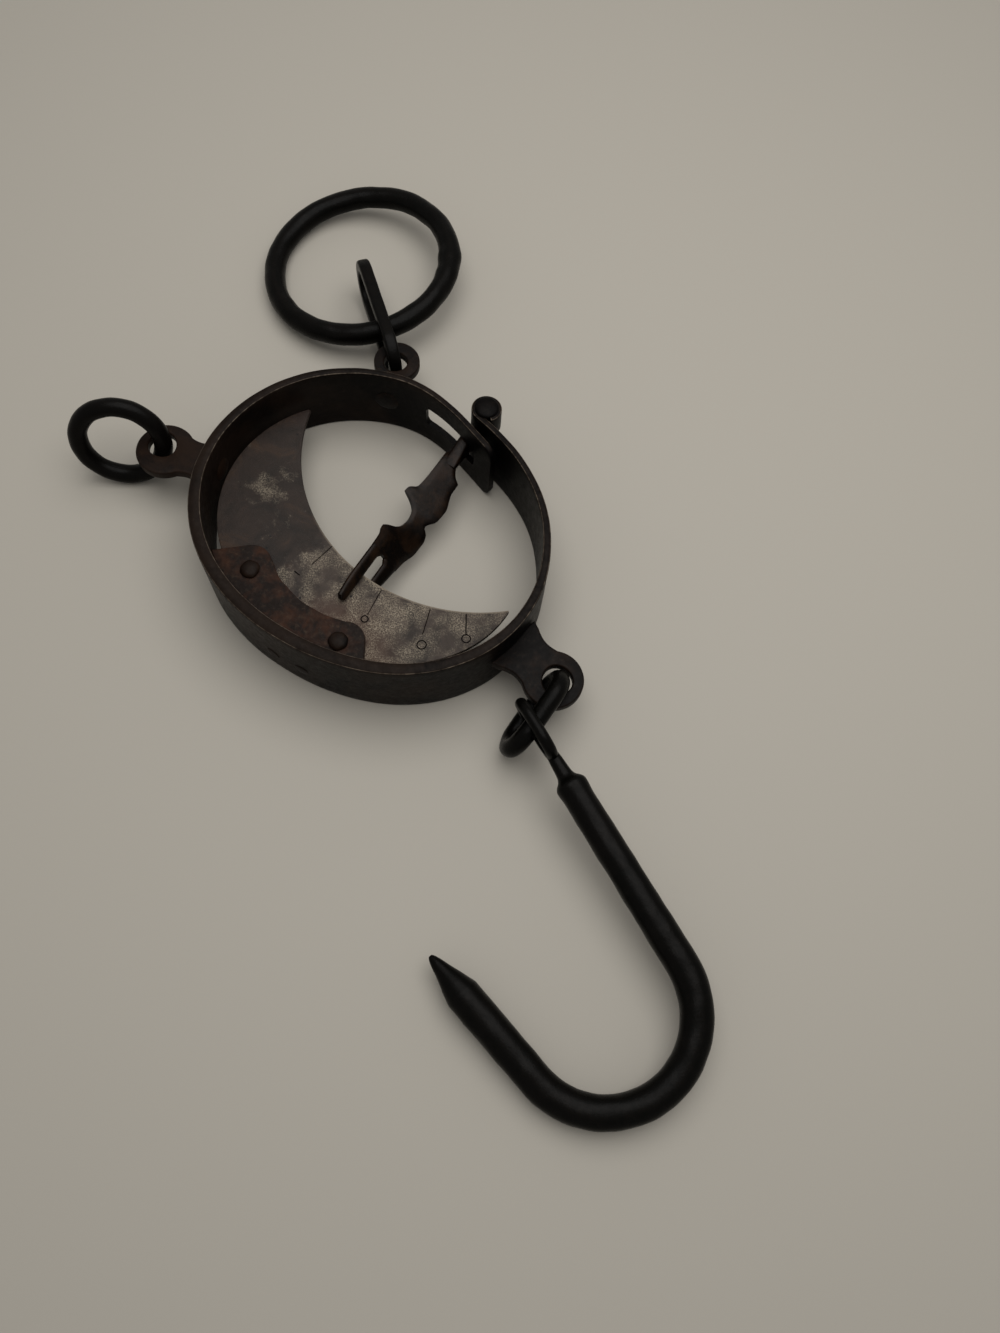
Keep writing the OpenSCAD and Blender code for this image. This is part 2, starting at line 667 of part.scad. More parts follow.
module hook() {
    shank_x = shoulder_x + shoulder_len;
    sunk = 2.5;
    color("#1b1918") from_hoop_middle()
        translate([hook_at[0], hook_at[1], hook_z])
            rotate([0, hook_slope, hook_az])
                rotate([hook_roll, 0, 0]) {
                    translate([loop_x, 0, 0])
                        rotate([loop_lean, 0, 0]) oval_link(loop_len, loop_h, loop_bar);
                    turned_bar([[shoulder_x - rod_len, rod_d / 2], [shoulder_x, rod_end_d / 2],
                        [shank_x, shank_d / 2], [bend_x + sunk, shank_d / 2]]);
                    translate([bend_x, -bend_r, 0])
                        rotate([0, 0, -bend_angle]) {
                            rotate([0, 0, 90])
                                rotate_extrude(angle = bend_angle, $fn = 120)
                                    translate([bend_r, 0]) circle(d = bend_d);
                            translate([0, bend_r, 0])
                                turned_bar([[-sunk, shank_d / 2], [0, shank_d / 2],
                                    [arm_len - point_len, arm_d / 2], [arm_len, point_end_d / 2]]);
                        }
                }
}

spring_hoop();
scale_plate();
bracket();
plate_rivet(plate_rivet_left_az);  // plate_rivet_left
plate_rivet(plate_rivet_right_az);  // plate_rivet_right
wall_rivet(wall_rivet_left_az);  // wall_rivet_left
wall_rivet(wall_rivet_right_az);  // wall_rivet_right
left_lug();
top_lug();
hook_lug();
pointer();
pivot_pin();
small_ring();
top_link();
big_ring();
hook_link();
hook();
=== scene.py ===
"""Hanging spring balance of wrought iron, lying on a pale table.

Sizes are in millimetres about the middle of the hoop, as in the part's source, and solid() turns
them into metres in the part's frame. Z is up from the table.
"""
from math import acos, asin, atan2, cos, degrees, hypot, pi, radians, sin, sqrt

import bmesh
import bpy
import numpy as np
from mathutils import Matrix, Vector, noise


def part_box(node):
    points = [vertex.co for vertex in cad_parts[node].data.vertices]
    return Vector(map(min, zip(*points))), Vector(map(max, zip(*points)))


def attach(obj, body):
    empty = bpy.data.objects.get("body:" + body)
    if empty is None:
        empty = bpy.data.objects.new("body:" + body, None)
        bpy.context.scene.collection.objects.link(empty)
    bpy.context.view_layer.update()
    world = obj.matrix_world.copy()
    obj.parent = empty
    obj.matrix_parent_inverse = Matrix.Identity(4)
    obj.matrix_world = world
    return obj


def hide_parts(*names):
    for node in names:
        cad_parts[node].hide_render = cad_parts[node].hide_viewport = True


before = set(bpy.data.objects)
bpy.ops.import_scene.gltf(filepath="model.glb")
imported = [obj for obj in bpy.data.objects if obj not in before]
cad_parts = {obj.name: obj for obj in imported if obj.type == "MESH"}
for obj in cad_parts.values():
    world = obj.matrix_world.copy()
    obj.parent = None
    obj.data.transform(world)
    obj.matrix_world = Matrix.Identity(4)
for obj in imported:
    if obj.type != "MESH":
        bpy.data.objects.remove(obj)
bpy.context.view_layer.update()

MM = 0.001
ROOT = "hoop_and_plate"
SHARP_ANGLE = radians(40)
# Blender's noise seldom comes near -1 or 1, and this brings it there
NOISE_GAIN = 1.6

# Sizes of the object, as in the part's source
HOOP_H = 32.0
HOOP_R, HOOP_OVAL, HOOP_LONG_AZ, HOOP_EGG = 65.0, 5.35, -30.3, 0.72
STRIP_BACK_T, STRIP_END_T, STRIP_THICK_AZ = 5.0, 2.4, 235.0
LAP_IN, LAP_IN_FROM, LAP_IN_SPAN = 5.7, -268.0, 52.0
LAP_OUT, LAP_OUT_FROM, LAP_OUT_SPAN = 1.2, -10.0, 40.0
INNER_END_AZ, INNER_END_ROUND = 38.5 - 360, 5.0
KNUCKLE_AZ, KNUCKLE_R, KNUCKLE_TURN = 55.4, 6.0, 300
PIN_D, PIN_HEAD_D, PIN_HEAD_H = 5.0, 9.6, 1.4
EYE_H, EYE_R, NECK_W, NECK_LEN, NECK_AZ = 9.0, 5.2, 5.5, 10.5, 226.0
BLADE_AZ, BLADE_LEN, BLADE_T = 246.6, 84.0, 2.2
LEAF_TWIST, FORK_TWIST, FORK_SLOT, SHORT_PRONG_LEN = 25.0, 54.0, 4.6, 12.5
FORK_LEN, SLIT_W = 24.4, 1.8
SLOT_FROM_AZ, SLOT_TO_AZ, SLOT_H, SLOT_ROUND = 49.5, 78.0, 11.0, 2.0
PLATE_Z, PLATE_T = 15.0, 2.0
PLATE_INNER_R, PLATE_CX, PLATE_CY, PLATE_TO_AZ = 69.5, 34.9, 41.5, -268.0
PLATE_GAP, PLATE_GAP_GROW, PLATE_GAP_AZ = 3.0, 3.0, 145.0
FOOT_R, FOOT_T, FOOT_FROM_AZ, FOOT_TO_AZ, FOOT_ROUND = 39.3, 2.5, 197.5, 277.0, 7.5
FLANGE_T, FLANGE_DROP = 2.3, 9.0
RIVET_D, RIVET_HEAD_D, RIVET_HEAD_H = 3.6, 7.4, 1.9
PLATE_RIVET_R = 48.0
PLATE_RIVET_AZ = {"left": 210.2, "right": 265.4}
WALL_RIVET_AZ = {"left": 242.0, "right": 254.0}
LUG_T, LUG_Z, PEEN_H = 4.0, 14.0, 1.2
# Each lug's place round the hoop, direction, reach to the eye's middle, eye radius, hole radius,
# shift of the hole, and the width of its neck and of its root
LUGS = {
    "left_lug": (163.5, 170.0, 19.6, 11.3, 5.4, (-1.5, 1.8), 16.5, 20.0),
    "top_lug": (94.0, 88.0, 16.4, 9.4, 4.7, (-0.5, -0.6), 13.0, 16.0),
    "hook_lug": (-32.5, -37.0, 19.4, 11.3, 5.6, (1.5, -0.2), 18.5, 24.0),
}
SMALL_RING_R, SMALL_RING_BAR, SMALL_RING_TILT, SMALL_RING_AZ = 16.0, 7.2, 71.6, -80.3
BIG_RING_R, BIG_RING_BAR, BIG_RING_TILT = 38.8, 9.0, 8.5
BIG_RING_ALONG, BIG_RING_HOLD = 22.2, -66.6
TOP_LINK_LEN, TOP_LINK_W, TOP_LINK_BAR, TOP_LINK_AZ, TOP_LINK_SLOPE = 60.0, 24.0, 5.5, 114.6, 2.5
TOP_LINK_SLACK = (-0.4, -1.6)
HOOK_LINK_LEN, HOOK_LINK_W, HOOK_LINK_BAR = 38.0, 25.0, 7.0
HOOK_LINK_AZ, HOOK_LINK_SLOPE, HOOK_LINK_LEAN = -119.0, 14.0, -20.0
HOOK_LINK_SLACK = (2.3, 0.4)
SHANK_D, SHANK_LEN, BEND_R, BEND_ANGLE, BEND_D = 11.0, 72.5, 30.8, 168.8, 11.6
ARM_LEN, ARM_D, POINT_LEN, POINT_END_D = 52.0, 12.0, 16.0, 2.4
LOOP_LEN, LOOP_H, LOOP_BAR, LOOP_LEAN = 26.0, 20.0, 4.4, 2.5
ROD_LEN, ROD_D, SHOULDER_X = 9.5, 5.2, -3.5
HOOK_AZ, HOOK_SLOPE, HOOK_ROLL, BAR_IN_LOOP, LOOP_ALONG = -51.5, 3.2, 7.3, 8.8, 10.15

# Sizes of what the hammer and the file left: the strip's rounded edges, how its walls and its upper
# rim waver, and the gaps between pieces that touch
STRIP_EDGE_R, WALL_WAVER, RIM_WAVER = 0.7, 0.12, 0.25
PIN_PLAY, EYE_PLAY, SEAT_GAP = 0.08, 0.06, 0.03
# How far a cutting tool runs past the surface that it cuts
CUT_PAST, WINDOW_PAST = 1.2, 0.6
# Weight marks: each tick runs from one place to another, and some end in a punched circle, given by
# its middle and radius
TICKS = [((40.4, -28.6), (41.5, -36.8)), ((26.9, -28.6), (25.7, -39.4)),
         ((7.7, -23.5), (4.3, -34.6)), ((-13.9, -8.4), (-20.0, -17.3)),
         ((-25.8, -21.0), (-23.5, -22.4))]
CIRCLES = [((41.8, -38.6), 1.6), ((26.0, -43.5), 1.7), ((3.6, -36.4), 1.3)]
GROOVE_R = 0.24


def ease(t):
    """A smooth step from 0 to 1."""
    return sin(pi / 2 * min(1.0, max(0.0, t))) ** 2


def at(r, az):
    """A place at a radius and an angle."""
    return np.array([r * cos(radians(az)), r * sin(radians(az))])


def outer_r(az):
    """The hoop's outer radius. The angle counts on along the strip, so that it tells its turns."""
    return (HOOP_R + HOOP_OVAL * cos(radians(2 * (az - HOOP_LONG_AZ)))
            - HOOP_EGG * sin(radians(3 * az)) - LAP_IN * ease((LAP_IN_FROM - az) / LAP_IN_SPAN)
            + LAP_OUT * ease((az - LAP_OUT_FROM) / LAP_OUT_SPAN))


def strip_t(az):
    return STRIP_END_T + (STRIP_BACK_T - STRIP_END_T) * cos(radians((az - STRIP_THICK_AZ) / 2)) ** 2


def inner_r(az):
    return outer_r(az) - strip_t(az)


def run_az(az):
    """The angle along the strip of its outermost turn at this angle."""
    return az - 360 if az > KNUCKLE_AZ else az


def lug_eye(name):
    """The middle of a lug's eye."""
    place, facing, reach = LUGS[name][:3]
    return at(outer_r(run_az(place)), place) + at(reach, facing)


PIVOT = at(inner_r(KNUCKLE_AZ) + KNUCKLE_R, KNUCKLE_AZ)
PLATE_TOP, PLATE_MID = PLATE_Z + PLATE_T, PLATE_Z + PLATE_T / 2
FOOT_TOP, LUG_MID = PLATE_TOP + FOOT_T, LUG_Z + LUG_T / 2
# The hoop's middle in the part's frame, read off the pivot pin
pin_low, pin_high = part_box("pivot_pin")
HOOP_MIDDLE = np.array([(pin_low[0] + pin_high[0]) / 2 / MM - PIVOT[0],
                        (pin_low[1] + pin_high[1]) / 2 / MM - PIVOT[1], 0.0])


def turn(axis, angle):
    return np.array(Matrix.Rotation(radians(angle), 3, axis))


# Materials
def srgb(code):
    """Linear colour of an sRGB hex code."""
    channels = [int(code[i:i + 2], 16) / 255 for i in (1, 3, 5)]
    return [c / 12.92 if c <= 0.04045 else ((c + 0.055) / 1.055) ** 2.4 for c in channels] + [1.0]


def add(tree, kind, settings=None, out=0, **inputs):
    """Adds a node with its settings and inputs, and gives one of its outputs. An input goes by its
    name, or by _ and its number. The setting "stops" holds a colour ramp's places and colours."""
    family = "GeometryNode" if tree.bl_idname == "GeometryNodeTree" else "ShaderNode"
    made = tree.nodes.new(family + kind)
    for key, value in (settings or {}).items():
        if key == "stops":
            band = made.color_ramp
            while len(band.elements) < len(value):
                band.elements.new(0.5)
            for element, (place, colour) in zip(band.elements, value):
                element.position = place
                element.color = colour if isinstance(colour, list) else [colour] * 3 + [1.0]
        else:
            setattr(made, key, value)
    for key, value in inputs.items():
        socket = made.inputs[int(key[1:]) if key[1:].isdigit() else key.replace("_", " ")]
        if isinstance(value, bpy.types.NodeSocket):
            tree.links.new(value, socket)
        else:
            socket.default_value = value
    return made.outputs[out] if made.outputs else None


def new_material(name):
    made = bpy.data.materials.new(name)
    made.use_nodes = True
    made.node_tree.nodes.clear()
    return made, made.node_tree


# Settings of the nodes that multiply, add a share, and mix colours. A mix takes its share at input
# 0 and its colours at 6 and 7, and gives a colour at output 2.
TIMES = {"operation": "MULTIPLY"}
TIMES_PLUS = {"operation": "MULTIPLY_ADD"}
COLOURS = {"data_type": "RGBA"}
# Ways across the hoop: to the damp left, to the rubbed lower right, and to the plate's upper end
TO_LEFT = (-1, -0.4, 0)
TO_LOWER_RIGHT = (0.707, -0.707, 0)
TO_UPPER_END = (0.4, 0.92, 0)


def fade(tree, where, way, start, end):
    """0 to 1 between two distances along a way, in millimetres about the hoop's middle."""
    along = add(tree, "VectorMath", {"operation": "DOT_PRODUCT"}, out="Value", _0=where, _1=way)
    middle = float(np.dot(way, HOOP_MIDDLE))
    return add(tree, "MapRange", _0=along, _1=(middle + start) * MM, _2=(middle + end) * MM,
               _3=0.0, _4=1.0)


def nearness(tree, where, place, within, until):
    """1 within a distance of a place, 0 beyond another, in millimetres about the hoop's middle."""
    away = add(tree, "VectorMath", {"operation": "DISTANCE"}, out="Value", _0=where,
               _1=(np.array(place) + HOOP_MIDDLE) * MM)
    return add(tree, "MapRange", _0=away, _1=within * MM, _2=until * MM, _3=1.0, _4=0.0)


def iron(name, dark, brown, pale, rough, shine, patch_mm=16, speck_mm=2.2, pale_share=0.25,
         bump_mm=0.12, wear_and_sheen_colour="#2e251f", edge_colour="#5a5046", rust_share=0.22):
    """Wrought iron: brown patches over a dark forge skin, pale specks where the skin has gone, and
    rims rubbed bright. The attribute "wear" says where hands and hooks have rubbed it; on the
    pointer, on the rings, links and hook and on the hoop's rim corners it also carries painted
    sheen and painted highlight lines on faces turned up to the lamp."""
    made, tree = new_material(name)
    where = add(tree, "TexCoord", out="Object")
    patches = add(tree, "TexNoise", Vector=where, Scale=1 / (patch_mm * MM), Detail=5.0,
                  Roughness=0.62, Distortion=0.4)
    patches = add(tree, "Math", TIMES_PLUS, _0=fade(tree, where, TO_LEFT, -50, 60), _1=rust_share,
                  _2=patches)
    specks = add(tree, "TexNoise", Vector=where, Scale=1 / (speck_mm * MM), Detail=6.0,
                 Roughness=0.7)
    grain = add(tree, "TexNoise", Vector=where, Scale=1 / (0.5 * MM), Detail=3.0, Roughness=0.6)
    colour = add(tree, "ValToRGB", {"stops": [(0.5, srgb(dark)), (0.76, srgb(brown))]}, _0=patches)
    # Where the skin has gone
    bare = add(tree, "ValToRGB", {"stops": [(0.62 - 0.2 * pale_share, 0.0), (0.74, 1.0)]},
               _0=specks)
    bare = add(tree, "Math", TIMES, _0=bare, _1=pale_share)
    colour = add(tree, "Mix", COLOURS, out=2, _0=bare, _6=colour, _7=srgb(pale))
    # Where it is rubbed, and where painted sheen lies on faces turned up to the lamp
    wear = add(tree, "Attribute", {"attribute_name": "wear"}, out="Fac")
    rub_and_sheen = add(tree, "ValToRGB", {"stops": [(0.34, 0.1), (0.62, 1.0)]}, _0=specks)
    rub_and_sheen = add(tree, "Math", TIMES, _0=rub_and_sheen, _1=wear)
    rub_and_sheen = add(tree, "Math", TIMES, _0=rub_and_sheen, _1=0.7)
    colour = add(tree, "Mix", COLOURS, out=2, _0=rub_and_sheen, _6=colour, _7=srgb(wear_and_sheen_colour))
    # The brightest edges: where the attribute runs highest, which on the hoop's rim corners and on
    # the tops of rings, links and hook is a painted highlight line
    edges = add(tree, "ValToRGB", {"stops": [(0.72, 0.0), (0.9, 0.9)]}, _0=wear)
    broken = add(tree, "ValToRGB", {"stops": [(0.4, 0.2), (0.6, 1.0)]}, _0=specks)
    edges = add(tree, "Math", TIMES, _0=edges, _1=broken)
    colour = add(tree, "Mix", COLOURS, out=2, _0=edges, _6=colour, _7=srgb(edge_colour))
    roughness = add(tree, "MapRange", _0=specks, _1=0.3, _2=0.7, _3=rough[1], _4=rough[0])
    height = add(tree, "Mix", COLOURS, out=2, _0=0.35, _6=specks, _7=grain)
    relief = add(tree, "Bump", Height=height, Distance=bump_mm * MM, Strength=1.0)
    shader = add(tree, "BsdfPrincipled", Base_Color=colour, Roughness=roughness, Normal=relief,
                 Metallic=0.0, Specular_IOR_Level=shine)
    add(tree, "OutputMaterial", Surface=shader)
    return made


def speckled_steel():
    """Sheet steel under a dark brown skin. It has worn through to clusters of fine pale specks at
    the lower right, where sleeves rub it, and in one patch half way up."""
    made, tree = new_material("speckled_sheet_steel")
    where = add(tree, "TexCoord", out="Object")
    blotches = add(tree, "TexNoise", Vector=where, Scale=1 / (12 * MM), Detail=5.0, Roughness=0.62,
                   Distortion=0.6)
    # How far the skin has worn, with a ragged border
    ragged = add(tree, "TexNoise", Vector=where, Scale=1 / (7 * MM), Detail=5.0, Roughness=0.65)
    ragged = add(tree, "MapRange", _0=ragged, _1=0.3, _2=0.7, _3=-0.45, _4=0.45)
    worn = add(tree, "Math", TIMES_PLUS, _0=fade(tree, where, TO_LOWER_RIGHT, -12, -3), _1=1.0,
               _2=ragged)
    worn = add(tree, "ValToRGB", {"stops": [(0.2, 0.0), (0.8, 1.0)]}, _0=worn)
    # The skin, redder at the upper end
    skin = add(tree, "ValToRGB", {"stops": [(0.36, srgb("#1e1712")), (0.54, srgb("#2a201a")),
                                            (0.7, srgb("#3a2a1e"))]}, _0=blotches)
    red = add(tree, "Math", TIMES, _0=fade(tree, where, TO_UPPER_END, 20, 40), _1=0.75)
    skin = add(tree, "Mix", COLOURS, out=2, _0=red, _6=skin, _7=srgb("#291a13"))
    # The worn steel, rusty beside the bracket
    steel = add(tree, "ValToRGB", {"stops": [(0.4, srgb("#2c2520")), (0.62, srgb("#443a33"))]},
                _0=blotches)
    rusty = nearness(tree, where, (-8, -56, PLATE_TOP), 18, 30)
    rusty = add(tree, "Math", TIMES, _0=rusty, _1=0.6)
    steel = add(tree, "Mix", COLOURS, out=2, _0=rusty, _6=steel, _7=srgb("#4a3022"))
    colour = add(tree, "Mix", COLOURS, out=2, _0=worn, _6=skin, _7=steel)
    # How dense the pale specks are: most in the patch, its trail, and round the pointer's tip
    patch = nearness(tree, where, (-43, 12, PLATE_TOP), 3, 17)
    trail = nearness(tree, where, (-34, 1, PLATE_TOP), 2, 13)
    trail = add(tree, "Math", TIMES, _0=trail, _1=0.7)
    patch = add(tree, "Math", {"operation": "MAXIMUM"}, _0=patch, _1=trail)
    tip = nearness(tree, where, (6, -34, PLATE_TOP), 4, 16)
    density = add(tree, "TexNoise", Vector=where, Scale=1 / (9 * MM), Detail=4.0, Roughness=0.6)
    density = add(tree, "Math", TIMES, _0=density, _1=0.7)
    for spot, share in ((worn, 0.24), (patch, 0.25), (tip, 0.05)):
        density = add(tree, "Math", TIMES_PLUS, _0=spot, _1=share, _2=density)
    density = add(tree, "ValToRGB", {"stops": [(0.52, 0.0), (0.69, 1.0)]}, _0=density)
    specks = add(tree, "TexNoise", Vector=where, Scale=1 / (0.55 * MM), Detail=4.0, Roughness=0.75)
    specks = add(tree, "ValToRGB", {"stops": [(0.44, 0.0), (0.6, 1.0)]}, _0=specks)
    pale = add(tree, "Math", TIMES, _0=specks, _1=density)
    pale = add(tree, "Math", TIMES, _0=pale, _1=0.85)
    colour = add(tree, "Mix", COLOURS, out=2, _0=pale, _6=colour, _7=srgb("#9c907d"))
    # A few small black pits
    cells = add(tree, "TexVoronoi", out="Distance", Vector=where, Scale=1 / (6.5 * MM),
                Randomness=1.0)
    pits = add(tree, "ValToRGB", {"stops": [(0.05, 1.0), (0.09, 0.0)]}, _0=cells)
    colour = add(tree, "Mix", COLOURS, out=2, _0=pits, _6=colour, _7=srgb("#0c0a09"))
    # The bright filed edge along the hollow side
    filed = nearness(tree, where, (PLATE_CX, PLATE_CY, PLATE_TOP), PLATE_INNER_R + 0.3,
                     PLATE_INNER_R + 0.8)
    filed = add(tree, "Math", TIMES, _0=filed, _1=fade(tree, where, TO_LOWER_RIGHT, -22, 0))
    filed = add(tree, "Math", TIMES, _0=filed, _1=0.75)
    colour = add(tree, "Mix", COLOURS, out=2, _0=filed, _6=colour, _7=srgb("#857a6b"))
    height = add(tree, "Math", TIMES_PLUS, _0=cells, _1=0.5, _2=specks)
    relief = add(tree, "Bump", Height=height, Distance=0.05 * MM, Strength=1.0)
    roughness = add(tree, "MapRange", _0=specks, _1=0.0, _2=1.0, _3=0.58, _4=0.45)
    shader = add(tree, "BsdfPrincipled", Base_Color=colour, Roughness=roughness, Normal=relief,
                 Metallic=0.0, Specular_IOR_Level=0.3)
    add(tree, "OutputMaterial", Surface=shader)
    return made


# Wrought iron black from the forge and oiled by hands, which gives an even deep black with soft
# highlights, and a painted sheen on the bars' upper sides from its wear and edge colours: rings,
# links and hook
BLACK_IRON = iron("blackened_wrought_iron", "#030302", "#080605", "#1c1713", patch_mm=20,
                  pale_share=0.15, rough=(0.22, 0.38), shine=0.07, bump_mm=0.14,
                  wear_and_sheen_colour="#0d0b09", edge_colour="#1d1814")
# Spring steel with a dark oxide skin, so almost black walls, brown where damp lay on them, and grey
# rims where it was ground and rubbed, with a painted pale highlight line along the rim's rounded
# corners: hoop, pivot pin and wall rivets
HOOP_STEEL = iron("oxidised_spring_steel", "#040303", "#1b130e", "#3a2e24", patch_mm=24,
                  pale_share=0.2, rough=(0.3, 0.5), shine=0.05, bump_mm=0.1,
                  wear_and_sheen_colour="#261e19", edge_colour="#6e6357")
# Hammered wrought iron with a thick rust, seldom touched, so rough, dull and brown: bracket
RUSTY_IRON = iron("rusty_wrought_iron", "#19110d", "#3a2317", "#4f3d28", patch_mm=8, speck_mm=1.8,
                  pale_share=0.35, rough=(0.5, 0.8), shine=0.15, bump_mm=0.3, rust_share=0.09,
                  wear_and_sheen_colour="#3f2d20", edge_colour="#503e2e")
# Hammered wrought iron with a thin brown skin, a little worn on its edges: lugs and plate rivets
BROWN_IRON = iron("browned_wrought_iron", "#0a0706", "#20150e", "#3a2c20", patch_mm=10,
                  pale_share=0.3, rough=(0.35, 0.55), shine=0.08, bump_mm=0.2,
                  wear_and_sheen_colour="#241b15", edge_colour="#42372d")
# Sheet iron filed to shape and gone brown, smooth enough to catch the light on its twist, and given
# a painted bronze sheen on its upturned faces: pointer
POINTER_IRON = iron("filed_sheet_iron", "#060403", "#23170e", "#4a3826", patch_mm=9, speck_mm=1.4,
                    pale_share=0.2, rough=(0.22, 0.4), shine=0.12, bump_mm=0.1,
                    wear_and_sheen_colour="#33241a", edge_colour="#5b4a36", rust_share=0.14)
# Rolled sheet steel with a brown skin worn through to pale specks: scale plate
PLATE_STEEL = speckled_steel()
# Old grease and dirt, which make the engraved marks dull and black
GROOVE_DIRT = iron("dirt_in_engraving", "#040303", "#070605", "#100d0b", rough=(0.7, 0.9),
                   shine=0.1)


# Mesh helpers
def sweep(rings, closed=False):
    """Vertices and faces of the skin over rings of points."""
    rings = np.asarray(rings, float)
    count, size, _ = rings.shape
    faces = []
    for i in range(count if closed else count - 1):
        k = (i + 1) % count
        faces += [(i * size + j, i * size + (j + 1) % size, k * size + (j + 1) % size, k * size + j)
                  for j in range(size)]
    if not closed:
        faces += [tuple(range(size))[::-1], tuple(range((count - 1) * size, count * size))]
    return rings.reshape(-1, 3), faces


def joined(*shells):
    """One list of vertices and faces from several shells."""
    verts, faces, start = [], [], 0
    for shell_verts, shell_faces in shells:
        verts.append(np.asarray(shell_verts, float))
        faces += [tuple(i + start for i in face) for face in shell_faces]
        start += len(shell_verts)
    return np.concatenate(verts), faces


def moved(shell, matrix=None, shift=(0, 0, 0)):
    """A shell turned and then shifted."""
    verts, faces = shell
    verts = np.asarray(verts, float)
    if matrix is not None:
        verts = verts @ np.asarray(matrix).T
    return verts + np.asarray(shift, float), faces


def solid(name, shell):
    """A closed object in metres in the part's frame, from a shell in millimetres. What would lie
    below the table is pressed flat on it."""
    verts, faces = shell
    verts = np.maximum(verts, (-np.inf, -np.inf, 0.0))
    mesh = bpy.data.meshes.new(name)
    mesh.from_pydata(((verts + HOOP_MIDDLE) * MM).tolist(), [], faces)
    work = bmesh.new()
    work.from_mesh(mesh)
    bmesh.ops.remove_doubles(work, verts=work.verts, dist=0.002 * MM)
    bmesh.ops.recalc_face_normals(work, faces=work.faces)
    work.to_mesh(mesh)
    work.free()
    mesh.shade_smooth()
    mesh.set_sharp_from_angle(angle=SHARP_ANGLE)
    return add_object(name, mesh)


def add_object(name, mesh):
    made = bpy.data.objects.new(name, mesh)
    bpy.context.scene.collection.objects.link(made)
    return made


def baked(thing):
    """The mesh that an object's modifiers leave."""
    bpy.context.view_layer.update()
    return bpy.data.meshes.new_from_object(thing.evaluated_get(
        bpy.context.evaluated_depsgraph_get()))


def finished(piece, body, slot_name, material, *nodes, wear=None):
    """Gives a piece its material and its body, and lets it stand for CAD nodes. The wear function
    takes a vertex's place in millimetres and its normal, and gives where the piece is rubbed and,
    for some pieces, where painted sheen and painted highlights lie."""
    mesh = piece.data
    mesh.materials.clear()
    mesh.materials.append(material)
    layer = mesh.attributes.new("wear", "FLOAT", "POINT")
    if wear:
        places = np.empty(len(mesh.vertices) * 3, np.float32)
        mesh.vertices.foreach_get("co", places)
        places = places.reshape(-1, 3) / MM - HOOP_MIDDLE
        normals = np.array([v.normal[:] for v in mesh.vertices])
        layer.data.foreach_set("value", np.clip(wear(places, normals), 0, 1).astype(np.float32))
    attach(piece, body)
    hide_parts(*nodes)


def cut(piece, *tools):
    """Cuts closed tool meshes out of a piece."""
    for tool in tools:
        step = piece.modifiers.new("cut", "BOOLEAN")
        step.operation = "DIFFERENCE"
        step.solver = "EXACT"
        step.use_self = True
        step.object = tool
        result = baked(piece)
        piece.modifiers.remove(step)
        old = piece.data
        piece.data = result
        bpy.data.meshes.remove(old)
        bpy.data.objects.remove(tool)
    piece.data.set_sharp_from_angle(angle=SHARP_ANGLE)


def lump(places, size, seed):
    """Smooth noise from about -1 to 1 at each place, for a hand forged surface."""
    shift = Vector((7.3, 3.1, 1.7)) * seed
    return np.array([noise.noise(Vector(p) / size + shift) for p in places]) * NOISE_GAIN


def slab(name, outlines, low, high, edge=0.4, matrix=None, shift=(0, 0, 0)):
    """A plate with rounded edges between two heights. The first outline is its rim, and others are
    holes."""
    curve = bpy.data.curves.new(name, "CURVE")
    curve.dimensions = "2D"
    curve.fill_mode = "BOTH"
    curve.extrude = (high - low) / 2 - edge
    curve.bevel_depth = edge
    curve.bevel_resolution = 3
    curve.offset = -edge
    for outline in outlines:
        line = curve.splines.new("POLY")
        line.points.add(len(outline) - 1)
        for point, (x, y) in zip(line.points, outline):
            point.co = (x, y, 0, 1)
        line.use_cyclic_u = True
    shape = add_object(name + "_outline", curve)
    mesh = baked(shape)
    verts = np.array([v.co[:] for v in mesh.vertices])
    verts[:, 2] += (low + high) / 2
    faces = [tuple(face.vertices) for face in mesh.polygons]
    bpy.data.objects.remove(shape)
    bpy.data.curves.remove(curve)
    bpy.data.meshes.remove(mesh)
    return moved((verts, faces), matrix, shift)


def bar_rings(path, across, upright, round_count=28, closed=False, lumps=0.03, seed=1, square=2.0):
    """Rings round a bar whose middle line lies in the XY plane. across and upright are its half
    widths in that plane and square to it, one number or one for each point. square above 2 makes
    the section squarer."""
    path = np.asarray(path, float)
    across = np.broadcast_to(across, len(path))
    upright = np.broadcast_to(upright, len(path))
    if closed:
        along = np.roll(path, -1, 0) - np.roll(path, 1, 0)
    else:
        along = np.gradient(path, axis=0)
    along /= np.linalg.norm(along, axis=1)[:, None]
    rings = []
    for point, step, a, b in zip(path, along, across, upright):
        ring = []
        for j in range(round_count):
            angle = 2 * pi * j / round_count
            c, s = (abs(v) ** (2 / square) * (1 if v >= 0 else -1)
                    for v in (cos(angle), sin(angle)))
            ring.append((point[0] - step[1] * a * c, point[1] + step[0] * a * c, b * s))
        rings.append(ring)
    rings = np.array(rings)
    middle = np.concatenate([path, np.zeros((len(path), 1))], 1)[:, None, :]
    swell = 1 + lumps * lump(rings.reshape(-1, 3), 6.0, seed).reshape(rings.shape[:2])[..., None]
    return middle + (rings - middle) * swell


def lathe(profile, centre, matrix, count=36, uneven=0.03, seed=1):
    """A turned or hammered knob: profile holds (height, radius) from end to end."""
    rings = []
    for height, radius in profile:
        ring = []
        for j in range(count):
            angle = 2 * pi * j / count
            x, y = radius * cos(angle), radius * sin(angle)
            swell = 1 + uneven * NOISE_GAIN * noise.noise(Vector((x, y, height)) / 2.2
                                                          + Vector((seed * 5.1, seed, 0)))
            ring.append((x * swell, y * swell, height))
        rings.append(ring)
    return moved(sweep(rings), matrix, centre)


